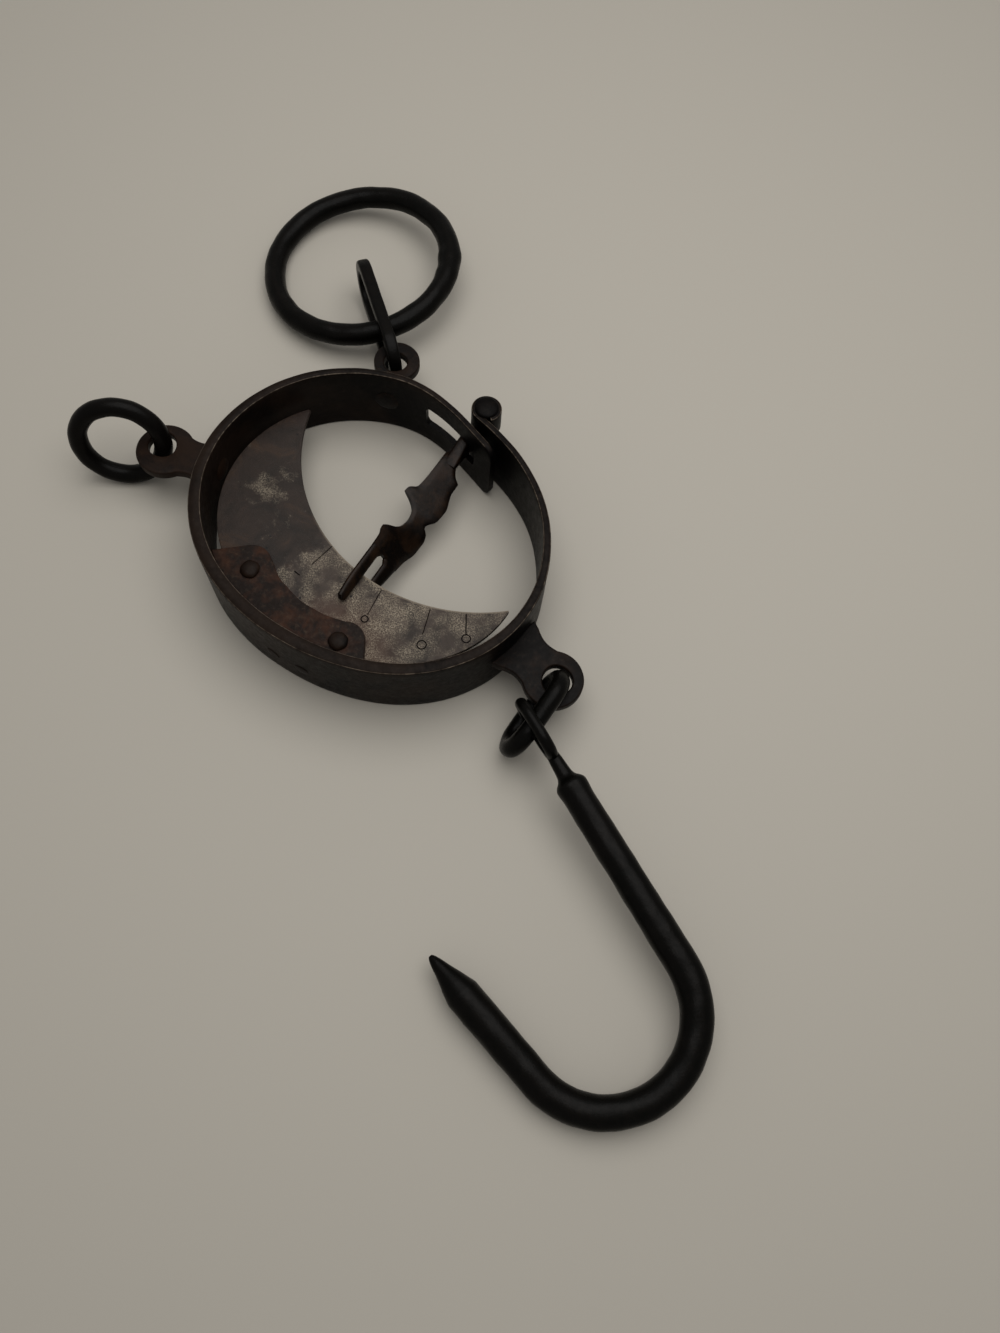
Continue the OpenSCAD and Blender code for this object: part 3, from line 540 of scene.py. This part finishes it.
def spline(spots, place):
    """The height of a smooth line through spots, at a place along it."""
    x, y = np.asarray(spots, float).T
    steps = np.diff(x)
    slopes = np.diff(y) / steps
    tangent = np.zeros(len(x))
    tangent[1:-1] = np.where(slopes[:-1] * slopes[1:] > 0,
                             2 * slopes[:-1] * slopes[1:] / (slopes[:-1] + slopes[1:] + 1e-9), 0)
    tangent[0], tangent[-1] = slopes[0], slopes[-1]
    i = int(np.clip(np.searchsorted(x, place) - 1, 0, len(x) - 2))
    t = (place - x[i]) / steps[i]
    return float((2 * t**3 - 3 * t**2 + 1) * y[i] + (t**3 - 2 * t**2 + t) * steps[i] * tangent[i]
                 + (-2 * t**3 + 3 * t**2) * y[i + 1] + (t**3 - t**2) * steps[i] * tangent[i + 1])


# Hoop
def rounded_off(radius, along):
    """What a rounded corner takes off an edge, at a distance from the end."""
    return radius - sqrt(max(0.0, radius ** 2 - max(0.0, radius - along) ** 2))


def strip_section(middle, out, half, low=0.0, high=HOOP_H):
    """One ring of the strip's rounded section, up its outer wall and down its inner one. out points
    away from the hoop's inside."""
    points = []
    for side, start, end in ((1, low, high), (-1, high, low)):
        corner = side * STRIP_EDGE_R
        points += [(side * half, z) for z in np.linspace(start + corner, end - corner, 12)]
        for across, turns in ((side, (1, 2, 3)), (-side, (3, 2, 1))):
            for a in (pi / 8 * k for k in turns):
                points.append((across * (half - STRIP_EDGE_R * (1 - cos(a))),
                               end - corner * (1 - sin(a))))
    ring = []
    # The wall wavers, and the upper rim more so
    for offset, z in points:
        waver = WALL_WAVER * noise.noise(Vector((middle[0] / 16, middle[1] / 16, z / 14)))
        lift = 0.0
        if z > high - STRIP_EDGE_R * 1.01:
            lift = RIM_WAVER * (noise.noise(Vector((middle[0] / 9, middle[1] / 9, 3))) - 1)
        ring.append((middle[0] + out[0] * (offset + waver), middle[1] + out[1] * (offset + waver),
                     max(0.0, z + lift)))
    return ring


def hoop_shell():
    """The strip from its inner end round to the knuckle, which winds back round the pin."""
    rings = []
    steps = 430
    for i in range(steps + 1):
        az = INNER_END_AZ + (KNUCKLE_AZ - INNER_END_AZ) * i / steps
        half = strip_t(az) / 2
        middle = at(outer_r(az) - half, az)
        ahead = at(outer_r(az + 0.5) - strip_t(az + 0.5) / 2, az + 0.5)
        behind = at(outer_r(az - 0.5) - strip_t(az - 0.5) / 2, az - 0.5)
        along = (ahead - behind) / np.linalg.norm(ahead - behind)
        out = np.array([along[1], -along[0]])
        back = (az - INNER_END_AZ) * pi / 180 * inner_r(az)
        trim = rounded_off(INNER_END_ROUND, back)
        rings.append(strip_section(middle, out, half, trim, HOOP_H - trim))
    start, steps = KNUCKLE_AZ + 180, 60
    for i in range(1, steps + 1):
        angle = KNUCKLE_TURN * i / steps
        outward = at(1, start - angle)
        # The strip thickens inwards over 50 degrees until it fits the pin
        inside = KNUCKLE_R - STRIP_END_T
        inside -= (inside - PIN_D / 2 - PIN_PLAY) * ease(angle / 50)
        middle = PIVOT + outward * (inside + KNUCKLE_R) / 2
        half = (KNUCKLE_R - inside) / 2
        rings.append(strip_section(middle, -outward, half))
    return sweep(rings)


def slot_shell():
    """The tool for the slot that the pointer's neck swings in, with rounded corners."""
    rings = []
    steps, span, hoop_r = 40, SLOT_TO_AZ - SLOT_FROM_AZ, 55
    length = span * pi / 180 * hoop_r
    for i in range(steps + 1):
        az = SLOT_FROM_AZ + span * i / steps - 360
        half = SLOT_H / 2 - rounded_off(SLOT_ROUND, min(i, steps - i) / steps * length)
        near, far = at(inner_r(az) - CUT_PAST, az), at(outer_r(az) + CUT_PAST, az)
        low, high = PLATE_MID - half, PLATE_MID + half
        rings.append([(*near, low), (*far, low), (*far, high), (*near, high)])
    return sweep(rings)


hoop = solid("spring_hoop_forged", hoop_shell())
window = [(PLATE_MID + side * (EYE_H + 1) / 2, KNUCKLE_R + WINDOW_PAST) for side in (-1, 1)]
cut(hoop, solid("slot_tool", slot_shell()),
    solid("window_tool", lathe(window, (*PIVOT, 0), np.eye(3), count=48, uneven=0)))


def rim_wear_and_highlight(places, normals):
    """The upper rim is rubbed, and the lower rim a little; along the upper rim's rounded corners
    lies a painted highlight line.
    """
    top = np.clip((places[:, 2] - HOOP_H + 1.6) / 1.2, 0, 1)
    # A painted highlight band where the corners' normals lie about 50 degrees from straight up
    corner = np.clip(1.5 - np.abs(normals[:, 2] - 0.62) * 3, 0, 1)
    foot = np.clip((1.2 - places[:, 2]) / 1.2, 0, 1) * 0.4
    return 0.6 * top + 0.4 * top * corner ** 3 + foot


finished(hoop, ROOT, "spring_steel", HOOP_STEEL, "spring_hoop", wear=rim_wear_and_highlight)

# Pivot pin, turned from these heights and radii, with its end peened to a dome over the knuckle
pin_profile = [(0.3, PIN_D / 2 - 0.4), (0.6, PIN_D / 2 - 0.02), (HOOP_H - 0.5, PIN_D / 2 - 0.02),
               (HOOP_H - 0.25, PIN_HEAD_D / 2 - 0.5), (HOOP_H + 0.1, PIN_HEAD_D / 2)]
pin_profile += [(HOOP_H + 0.1 + (PIN_HEAD_H - 0.1) * sin(a), PIN_HEAD_D / 2 * cos(a))
                for a in np.linspace(0.15, 1.45, 9)]
pin = solid("pivot_pin_peened", lathe(pin_profile, (*PIVOT, 0), np.eye(3), count=48, uneven=0.02,
                                      seed=4))
finished(pin, ROOT, "spring_steel", HOOP_STEEL, "pivot_pin",
         wear=lambda places, normals: np.clip((places[:, 2] - HOOP_H - 0.6) / 1.5, 0, 1) * 0.5)


# Scale plate
def crescent():
    """Outline of the plate: along the hoop from its lower tip to its upper end, back on an arc."""
    centre = np.array([PLATE_CX, PLATE_CY])
    along = [at(inner_r(a) - PLATE_GAP
                - PLATE_GAP_GROW * sin(radians((a - PLATE_GAP_AZ) / 2)) ** 2, a)
             for a in np.linspace(KNUCKLE_AZ, PLATE_TO_AZ, 220)]
    outer = [p for p in along if np.linalg.norm(p - centre) >= PLATE_INNER_R]
    ends = [degrees(atan2(*(p - centre)[::-1])) % 360 for p in (outer[-1], outer[0])]
    return outer + [centre + at(PLATE_INNER_R, a) for a in np.linspace(*ends, 150)]


plate = solid("scale_plate_engraved", slab("plate", [crescent()], PLATE_Z, PLATE_TOP, 0.25))


def tick_marks(name, lines_mesh, material):
    """Geometry Nodes that put a round cutter along each line of a mesh, made into a plain mesh."""
    group = bpy.data.node_groups.new(name, "GeometryNodeTree")
    sockets = group.interface
    sockets.new_socket("Geometry", in_out="INPUT", socket_type="NodeSocketGeometry")
    groove = sockets.new_socket("Groove radius", in_out="INPUT", socket_type="NodeSocketFloat")
    sockets.new_socket("Geometry", in_out="OUTPUT", socket_type="NodeSocketGeometry")
    source, sink = group.nodes.new("NodeGroupInput"), group.nodes.new("NodeGroupOutput")
    path = add(group, "MeshToCurve", Mesh=source.outputs["Geometry"])
    profile = add(group, "CurvePrimitiveCircle", Resolution=6,
                  Radius=source.outputs["Groove radius"])
    cutters = add(group, "CurveToMesh", Curve=path, Profile_Curve=profile, Fill_Caps=True)
    cutters = add(group, "RealizeInstances", Geometry=cutters)
    cutters = add(group, "SetMaterial", Geometry=cutters, Material=material)
    group.links.new(cutters, sink.inputs["Geometry"])
    base = add_object(name, lines_mesh)
    step = base.modifiers.new("ticks", "NODES")
    step.node_group = group
    step[groove.identifier] = GROOVE_R * MM
    mesh = baked(base)
    base.modifiers.remove(step)
    bpy.data.objects.remove(base)
    return add_object(name + "_cutters", mesh)


def mark_lines(sides=24):
    """A mesh of the marks' middle lines, on top of the plate."""
    verts, edges = [], []
    for start, end in TICKS:
        edges.append((len(verts), len(verts) + 1))
        verts += [(*start, PLATE_TOP), (*end, PLATE_TOP)]
    for centre, radius in CIRCLES:
        first = len(verts)
        verts += [(*(np.array(centre) + at(radius, 360 / sides * k)), PLATE_TOP)
                  for k in range(sides)]
        edges += [(first + k, first + (k + 1) % sides) for k in range(sides)]
    lines = bpy.data.meshes.new("tick_lines")
    lines.from_pydata(((np.array(verts) + HOOP_MIDDLE) * MM).tolist(), edges, [])
    return lines


cut(plate, tick_marks("tick_marks", mark_lines(), PLATE_STEEL))


def mark_distance(place):
    """How far a place in metres is from the nearest engraved line, in millimetres."""
    place = np.array(place[:2]) / MM - HOOP_MIDDLE[:2]
    best = min(abs(hypot(*(place - c)) - r) for c, r in CIRCLES)
    for start, end in TICKS:
        run = np.subtract(end, start)
        t = np.clip(np.dot(place - start, run) / np.dot(run, run), 0, 1)
        best = min(best, hypot(*(place - (start + run * t))))
    return best


finished(plate, ROOT, "plate_steel", PLATE_STEEL, "scale_plate")
plate.data.materials.append(GROOVE_DIRT)
for face in plate.data.polygons:
    sunk = PLATE_TOP - GROOVE_R < face.center.z / MM < PLATE_TOP - 0.02
    if sunk and face.normal.z > 0 and mark_distance(face.center) < GROOVE_R:
        face.material_index = 1


# Bracket that holds the plate to the hoop
def by_the_wall(gap):
    """A line along the hoop's inner wall behind the bracket."""
    return [at(inner_r(a) - gap, a) for a in np.linspace(FOOT_FROM_AZ, FOOT_TO_AZ, 60) - 360]


def foot_outline():
    """The foot: along the wall, round a corner, along an uneven inner edge and round the other."""
    corner = degrees(asin(FOOT_ROUND / (FOOT_R + FOOT_ROUND)))
    rounded = [[at(FOOT_R + FOOT_ROUND, az) + at(FOOT_ROUND, a)
                for a in np.linspace(first, first + 90 - corner, 12)]
               for az, first in ((FOOT_TO_AZ - corner, FOOT_TO_AZ + 90),
                                 (FOOT_FROM_AZ + corner, FOOT_FROM_AZ + 180 + corner))]
    edge = [at(FOOT_R + 0.5 * noise.noise(Vector((a / 9, 0, 0))), a)
            for a in np.linspace(FOOT_TO_AZ - corner, FOOT_FROM_AZ + corner, 50)[1:-1]]
    return by_the_wall(SEAT_GAP) + rounded[0] + edge + rounded[1]


flange = by_the_wall(SEAT_GAP) + by_the_wall(FLANGE_T)[::-1]
bracket = solid("bracket_forged", joined(
    slab("foot", [foot_outline()], PLATE_TOP, FOOT_TOP, edge=0.5),
    slab("flange", [flange], PLATE_TOP - FLANGE_DROP, FOOT_TOP - 0.3)))
finished(bracket, ROOT, "rusty_iron", RUSTY_IRON, "bracket",
         wear=lambda places, normals: 0.5 * (np.abs(normals[:, 2] - 0.6) < 0.3))


def head_profile(base, height, radius):
    """A hammered rivet head, from its rim to its top."""
    return [(base + height * sin(a), radius * cos(a)) for a in np.linspace(0, 1.5, 9)]


def head_wear(places, normals):
    """The tops of the plate rivets' heads are rubbed."""
    return 0.6 * np.clip((places[:, 2] - FOOT_TOP - 1.2) / 0.7, 0, 1)


# Each rivet is a peened end, a shank through the pieces that it holds, and a hammered head
for side, az in PLATE_RIVET_AZ.items():
    profile = [(PLATE_Z - PEEN_H, 1.0), (PLATE_Z - PEEN_H * 0.85, 2.4), (PLATE_Z, 3.4)]
    profile += [(PLATE_Z + 0.01, RIVET_D / 2), (FOOT_TOP - 0.01, RIVET_D / 2), (FOOT_TOP, 3.4)]
    profile += head_profile(FOOT_TOP + 0.4, RIVET_HEAD_H - 0.4, RIVET_HEAD_D / 2)
    rivet = solid("plate_rivet_%s_hammered" % side, lathe(
        profile, (*at(PLATE_RIVET_R, az), 0), np.eye(3), count=32, uneven=0.06, seed=az))
    finished(rivet, ROOT, "lug_iron", BROWN_IRON, "plate_rivet_" + side, wear=head_wear)

for side, az in WALL_RIVET_AZ.items():
    a = run_az(az)
    slope = (outer_r(a + 1) - outer_r(a - 1)) / 2 * (180 / pi) / outer_r(a)
    facing = turn("Z", az - degrees(atan2(slope, 1))) @ turn("Y", 90)
    depth = strip_t(a) + FLANGE_T
    profile = [(-depth - PEEN_H + 0.3, 0.8), (-depth - 0.7, 2.2), (-depth, 3.0),
               (-depth + 0.3, RIVET_D / 2), (-0.3, RIVET_D / 2), (0.0, 3.0)]
    profile += head_profile(0.05, 0.35, 2.9)
    rivet_at = (*at(outer_r(a), az), PLATE_Z - RIVET_HEAD_D / 2 + 0.1)
    rivet = solid("wall_rivet_%s_hammered" % side, lathe(
        profile, rivet_at, facing, count=28, uneven=0.06, seed=az))
    finished(rivet, ROOT, "spring_steel", HOOP_STEEL, "wall_rivet_" + side)


# Lugs
def lug_outlines(reach, eye_r, hole_r, hole_at, neck_w, root_w):
    """The eye's rim joined to a neck that flares to the hoop in hollow curves."""
    meet = degrees(asin(min(0.98, neck_w / 2 / eye_r)))
    eye = np.array([reach, 0])
    rim = [eye + at(eye_r * (1 + 0.02 * noise.noise(Vector((a / 50, eye_r, 0)))), a)
           for a in np.linspace(-180 + meet, 180 - meet, 60)]
    start, root_depth, hollow = rim[-1][0], 1.5, 0.9
    flank = []
    for t in np.linspace(0, 1, 14)[1:]:
        flare = (root_w - neck_w) / 2 * t ** 2.2
        flank.append((start * (1 - t) - root_depth * t,
                      neck_w / 2 - hollow * sin(pi * min(1, t * 1.3)) + flare))
    other = [(x, -y) for x, y in flank[::-1]]
    hole = [eye + hole_at + at(hole_r * (1 + 0.03 * sin(radians(3 * a))), a)
            for a in np.linspace(0, 360, 49)[:-1]]
    return [rim + flank + other, hole]


for lug_name, (place, facing, reach, eye_r, hole_r, shift, neck_w, root_w) in LUGS.items():
    root = at(outer_r(run_az(place)), place)
    matrix = turn("Z", facing)
    hole_at = (matrix.T @ np.array([*shift, 0]))[:2]
    wall = strip_t(run_az(place))
    # The tenon's peened head inside the hoop
    peen = [(wall + PEEN_H * 0.7, 1.4), (wall + PEEN_H * 0.5, 3.6), (wall + 0.05, 5.0),
            (wall - 0.6, 4.6), (wall - 0.8, 3.0), (1.0, 3.0)]
    lug = solid(lug_name + "_forged", joined(
        slab(lug_name, lug_outlines(reach, eye_r, hole_r, hole_at, neck_w, root_w),
             LUG_Z, LUG_Z + LUG_T, 0.7, matrix, (*root, 0)),
        lathe(peen, (*root, LUG_MID), matrix @ turn("Y", -90), count=28, uneven=0.08, seed=place)))
    finished(lug, ROOT, "lug_iron", BROWN_IRON, lug_name,
             wear=lambda places, normals: 0.55 * (np.abs(normals[:, 2] - 0.6) < 0.35))


# Pointer: an eye in the knuckle, a neck, a leaf with two cusps, and a fork
def blade(stations, upper, lower, count=10):
    """The skin of a twisted blade. upper and lower give its edges at each station."""
    rings = []
    for s in stations:
        top, bottom, angle = spline(upper, s), spline(lower, s), radians(spline(TWIST, s))
        across, up = np.array([0, cos(angle), sin(angle)]), np.array([0, -sin(angle), cos(angle)])
        ring = []
        for side in (1, -1):
            for k in range(count):
                t = k / (count - 1) if side > 0 else 1 - k / (count - 1)
                v = top + (bottom - top) * t
                swell = (1 - (2 * t - 1) ** 4) ** 0.5
                # Its edges are hammered thinner
                half = BLADE_T / 2 * (0.45 + 0.55 * swell)
                ring.append(np.array([s, 0, 0]) + across * v + up * side * half)
        rings.append(ring)
    return sweep(rings)


FORK_ROOT = BLADE_LEN - FORK_LEN
SHORT_END = FORK_ROOT + SHORT_PRONG_LEN
HALF_SLOT, SLIT = FORK_SLOT / 2, SLIT_W / 2
# Along the blade from the neck's end, in millimetres: its twist in degrees, and how far its edges
# and the fork's prongs are from its middle line
TWIST = [(-2, 0), (4, 3), (12, 20), (20, LEAF_TWIST), (34, LEAF_TWIST), (40, 38), (46, 51),
         (52, FORK_TWIST), (85, FORK_TWIST)]
UPPER_EDGE = [(-1, 2.6), (4.7, 3.3), (8, 4.2), (19.5, 4.4), (27.3, 5.1), (30.3, 7.9), (32.2, 8.2),
              (33.8, 5.5), (35.4, 3), (37.6, 1.1), (41.1, 0.4), (44.7, 1.2), (47.1, 3.2),
              (49.8, 7.4), (50.7, 8.3), (52.4, 8.2), (54.5, 7.2), (FORK_ROOT + 1, 6.9)]
LOWER_EDGE = [(-1, -2.6), (8.2, -2.2), (11.8, -3.2), (14.4, -4.9), (16.2, -7.3), (20.7, -7.3),
              (23.8, -8.2), (28.5, -9.5), (33.9, -9.1), (38.7, -6.6), (40.6, -9.1), (43.7, -10.8),
              (48.2, -11.2), (54.9, -9.3), (FORK_ROOT + 1, -8.5)]
LONG_PRONG = [(FORK_ROOT - 1, 6.9), (FORK_ROOT + 11.5, 7.0), (BLADE_LEN - 0.6, 6.0),
              (BLADE_LEN, 4.6)]
LONG_INSIDE = [(FORK_ROOT - 1, SLIT), (FORK_ROOT, SLIT), (FORK_ROOT + 2.4, HALF_SLOT),
               (BLADE_LEN - 1, HALF_SLOT), (BLADE_LEN, HALF_SLOT + 0.9)]
SHORT_PRONG = [(FORK_ROOT - 1, -8.5), (FORK_ROOT + 7, -7.5), (SHORT_END - 2.5, -6.9),
               (SHORT_END, -4.2)]
SHORT_INSIDE = [(FORK_ROOT - 1, -SLIT), (FORK_ROOT, -SLIT), (FORK_ROOT + 2.4, -HALF_SLOT),
                (SHORT_END, -HALF_SLOT)]

leaf_and_fork = joined(
    blade(np.linspace(-1, FORK_ROOT, 90), UPPER_EDGE, LOWER_EDGE),
    blade(np.linspace(FORK_ROOT - 0.5, BLADE_LEN, 30), LONG_PRONG, LONG_INSIDE),
    blade(np.linspace(FORK_ROOT - 0.5, SHORT_END, 20), SHORT_INSIDE, SHORT_PRONG))
neck_end = at(NECK_LEN, NECK_AZ)
neck_path = [at(r, NECK_AZ) for r in np.linspace(3.6, NECK_LEN, 8)]
neck_path += [neck_end + at(r, BLADE_AZ) for r in np.linspace(2.0, 12, 8)]
# As high as the eye inside the knuckle, and then thinning to the blade
neck_high = np.concatenate([np.full(8, EYE_H / 2), np.linspace(4.0, 1.3, 8)])
neck = bar_rings(neck_path, NECK_W / 2, neck_high, 24, square=4.0, lumps=0.02, seed=5)


def eye_ring(count=40):
    """The eye round the pivot pin, turned from half of its closed section."""
    upper = [(EYE_H / 2 - 0.4, EYE_R), (EYE_H / 2, EYE_R - 0.5), (EYE_H / 2, PIN_D / 2 + EYE_PLAY)]
    section = [(-height, radius) for height, radius in upper[::-1]] + upper
    rings = [[(*at(radius, 360 * k / count), height) for height, radius in section]
             for k in range(count)]
    return sweep(rings, closed=True)


pointer = solid("pointer_forged", moved(joined(
    eye_ring(), sweep(neck),
    moved(leaf_and_fork, turn("Z", BLADE_AZ) @ np.diag([1, -1, 1]), (*neck_end, 0))),
    shift=(*PIVOT, PLATE_MID)))
# The blade's faces turned up to the lamp get a painted bronze sheen through the wear attribute
finished(pointer, "pointer", "pointer_iron", POINTER_IRON, "pointer",
         wear=lambda places, normals: 0.6 * np.clip(normals[:, 2], 0, 1) ** 4)


# Rings and links
def round_ring(radius, across, upright, count, lumps, seed, round_count):
    """A round ring that lies flat."""
    path = [at(radius, 360 * k / count) for k in range(count)]
    return sweep(bar_rings(path, across, upright, round_count, True, lumps, seed), closed=True)


def link_path(length, width, bar, count=120):
    """The middle line of an oval link. Its near end is at the origin and it runs along +X."""
    end_r, run = (width - bar) / 2, length - width
    half = []
    for d in np.linspace(0, run + pi * end_r, count // 2, endpoint=False):
        if d < run:
            half.append(np.array([end_r + d, -end_r]))
        else:
            half.append(np.array([end_r + run, 0]) + at(end_r, -90 + degrees((d - run) / end_r)))
    # The other half is this one turned half way round
    return half + [(2 * end_r + run, 0) - spot for spot in half]


def upright_link(length, width, bar, seed, lumps=0.04, square=2.0):
    """An oval link that stands on edge, in the XZ plane."""
    path = link_path(length, width, bar)
    rings = bar_rings(path, bar / 2, bar / 2, 24, True, lumps, seed, square)
    return moved(sweep(rings, closed=True), turn("X", 90))


def handled_and_top_lit(places, normals):
    """Rings, links and hook are rubbed in places, and their upper sides carry a painted sheen from
    the lamp above.
    """
    return 0.25 + 0.5 * np.clip(normals[:, 2], 0, 1)


def loose_piece(name, shell):
    """A ring, a link or the hook, which moves by itself."""
    finished(solid(name + "_forged", shell), name, "ring_iron", BLACK_IRON, name, wear=handled_and_top_lit)


# Small ring, leaning in the left lug's eye with its foot on the table
small_rise = SMALL_RING_R * sin(radians(SMALL_RING_TILT))
small_z = small_rise + SMALL_RING_BAR / 2
hold = acos((small_z - LUG_MID) / small_rise)
hold_at = (SMALL_RING_R * cos(hold) * cos(radians(SMALL_RING_TILT)), SMALL_RING_R * sin(hold), 0)
small_at = lug_eye("left_lug") + LUGS["left_lug"][5] - (turn("Z", SMALL_RING_AZ) @ hold_at)[:2]
loose_piece("small_ring", moved(
    round_ring(SMALL_RING_R, SMALL_RING_BAR / 2, SMALL_RING_BAR / 2, 110, 0.05, 11, 28),
    turn("Z", SMALL_RING_AZ) @ turn("Y", SMALL_RING_TILT), (*small_at, small_z)))

# Top link, on edge in the top lug's eye
top_rise = (TOP_LINK_LEN - (TOP_LINK_W + TOP_LINK_BAR) / 2) * sin(radians(TOP_LINK_SLOPE))
top_at = (*(lug_eye("top_lug") + TOP_LINK_SLACK), TOP_LINK_W / 2 + top_rise)
loose_piece("top_link", moved(
    upright_link(TOP_LINK_LEN, TOP_LINK_W, TOP_LINK_BAR - 0.3, 21, 0.02, 4.5),
    turn("Z", TOP_LINK_AZ) @ turn("Y", TOP_LINK_SLOPE), top_at))

# Big ring, lying on the table through the top link, with two swellings where its bar is welded
big_z = BIG_RING_R * sin(radians(BIG_RING_TILT)) + BIG_RING_BAR / 2
big_at = top_at[:2] + at(BIG_RING_ALONG, TOP_LINK_AZ) \
    - at(BIG_RING_R, BIG_RING_HOLD) * (cos(radians(BIG_RING_TILT)), 1)
big_count = 144
past_weld = (np.arange(big_count) * 360 / big_count + 180) % 360 - 180
weld = 1 + sum(swell * np.exp(-((past_weld - middle) / width) ** 2)
               for swell, middle, width in ((0.16, 8, 7), (0.08, -8, 5)))
loose_piece("big_ring", moved(
    round_ring(BIG_RING_R, BIG_RING_BAR / 2 * weld, BIG_RING_BAR / 2, big_count, 0.04, 31, 30),
    turn("Y", -BIG_RING_TILT), (*big_at, big_z)))

# Hook link, leaning on edge in the hook lug's eye
link_r = (HOOK_LINK_W - HOOK_LINK_BAR) / 2
slope, lean = radians(HOOK_LINK_SLOPE), radians(HOOK_LINK_LEAN)
link_z = (HOOK_LINK_LEN - HOOK_LINK_BAR - link_r) * sin(slope) \
    + link_r * hypot(cos(slope) * cos(lean), sin(slope)) + HOOK_LINK_BAR / 2
link_at = lug_eye("hook_lug") + HOOK_LINK_SLACK
link_turn = turn("Z", HOOK_LINK_AZ) @ turn("Y", HOOK_LINK_SLOPE) @ turn("X", HOOK_LINK_LEAN)
loose_piece("hook_link", moved(
    upright_link(HOOK_LINK_LEN, HOOK_LINK_W, HOOK_LINK_BAR, 41), link_turn, (*link_at, link_z)))

# Hook: eye loop, rod, shoulders, shank, bend, arm and point
bend_x = SHOULDER_X + SHANK_LEN
loop_x = SHOULDER_X - ROD_LEN - LOOP_LEN + LOOP_BAR
in_loop = link_turn @ (link_r + LOOP_ALONG, 0, link_r)
hook_at = link_at + in_loop[:2] + at(-loop_x - BAR_IN_LOOP, HOOK_AZ)
slope, roll = radians(HOOK_SLOPE), radians(HOOK_ROLL)
hook_z = bend_x * sin(slope) + BEND_R * sin(roll) * cos(slope) \
    + BEND_R * sqrt(1 - (cos(roll) * cos(slope)) ** 2) + BEND_D / 2
hook_turn = turn("Z", HOOK_AZ) @ turn("Y", HOOK_SLOPE) @ turn("X", HOOK_ROLL)
# The bar's half width along the rod, shoulders and shank, and then along the arm and point
ROD_START, POINT_START = SHOULDER_X - ROD_LEN, ARM_LEN - POINT_LEN
SHANK_HALF = [(ROD_START - 2.2, 0.8), (ROD_START - 1.2, 1.9), (ROD_START + 0.5, LOOP_BAR / 2 + 0.1),
              (SHOULDER_X - 1.5, ROD_D / 2 + 0.4), (SHOULDER_X, ROD_D / 2 + 1.0),
              (SHOULDER_X + 1.6, 5.1), (SHOULDER_X + 3, SHANK_D / 2 + 0.2),
              (SHOULDER_X + 8, SHANK_D / 2), (bend_x, BEND_D / 2)]
ARM_HALF = [(0, BEND_D / 2), (POINT_START - 0.4, ARM_D / 2), (POINT_START + 0.6, 5.75),
            (POINT_START + 2, 5.35), (ARM_LEN - 7, 3.15), (ARM_LEN - 0.8, POINT_END_D / 2),
            (ARM_LEN, 0.6)]

hook_path, hook_half = [], []
for x in np.linspace(SHANK_HALF[0][0], bend_x, 120):
    hook_path.append((x, 0.0))
    hook_half.append(spline(SHANK_HALF, x))
for angle in np.linspace(0, BEND_ANGLE, 90)[1:]:
    hook_path.append(np.array([bend_x, -BEND_R]) + at(BEND_R, 90 - angle))
    hook_half.append(BEND_D / 2 - 0.25 * sin(pi * angle / BEND_ANGLE))
bend_end = hook_path[-1]
for d in np.linspace(0, ARM_LEN, 90)[1:]:
    hook_path.append(bend_end + at(d, -BEND_ANGLE))
    hook_half.append(spline(ARM_HALF, d))
hook_bar = sweep(bar_rings(hook_path, hook_half, hook_half, 32, lumps=0.025, seed=51, square=2.2))
eye_loop = moved(upright_link(LOOP_LEN, LOOP_H, LOOP_BAR, 61), turn("X", LOOP_LEAN),
                 (loop_x, 0, 0))
loose_piece("hook", moved(joined(hook_bar, eye_loop), hook_turn, (*hook_at, hook_z)))

# Table, light and camera
FLOOR_HALF, FLOOR_LOW = 4, -0.0002
floor_mesh = bpy.data.meshes.new("table")
floor_mesh.from_pydata([(x * FLOOR_HALF, y * FLOOR_HALF, FLOOR_LOW)
                        for x, y in ((-1, -1), (1, -1), (1, 1), (-1, 1))], [], [(0, 1, 2, 3)])
floor = add_object("table", floor_mesh)
floor_paint, tree = new_material("pale_table")
add(tree, "OutputMaterial", Surface=add(tree, "BsdfPrincipled", Base_Color=srgb("#aba69c"),
                                        Roughness=0.65))
floor_mesh.materials.append(floor_paint)


def softbox(name, place, target, size, power, colour):
    """A round lamp, from its place to its target in metres."""
    lamp = bpy.data.lights.new(name, "AREA")
    lamp.shape, lamp.size, lamp.energy, lamp.color = "DISK", size, power, colour
    made = add_object(name, lamp)
    made.location = place
    made.rotation_euler = (Vector(target) - Vector(place)).to_track_quat("-Z", "Y").to_euler()


softbox("ceiling_light", (0.09, 0.14, 0.65), (0.08, 0.12, 0), 0.8, 3.6, (1.0, 0.985, 0.965))
world = bpy.data.worlds.new("room")
world.use_nodes = True
background = world.node_tree.nodes["Background"]
background.inputs["Color"].default_value = (1, 0.985, 0.96, 1)
background.inputs["Strength"].default_value = 0.36
bpy.context.scene.world = world
bpy.context.scene.view_settings.view_transform = "Standard"

# The lens, worked out from the photo: its focal length is this many of the photo's pixels
FOCAL_PIXELS, PHOTO_PIXELS_HIGH, FILM_H = 1040, 1333, 36
lens = bpy.data.cameras.new("camera")
lens.sensor_fit = "VERTICAL"
lens.sensor_height = FILM_H
lens.lens = FILM_H * FOCAL_PIXELS / PHOTO_PIXELS_HIGH
lens.clip_start, lens.clip_end = 0.02, 20
camera = add_object("camera", lens)
# Which ways are right, up and back in the photo, and where it was taken from, in millimetres about
# the hoop's middle
right, up, back = (0.9903, 0.1290, 0.0523), (-0.1392, 0.9177, 0.3721), (0, -0.3757, 0.9267)
stand = (np.array([55.6, -190.5, 369.3]) + HOOP_MIDDLE) * MM
camera.matrix_world = Matrix([[*row] for row in zip(right, up, back, stand)] + [[0, 0, 0, 1]])
bpy.context.scene.camera = camera

bpy.context.view_layer.update()
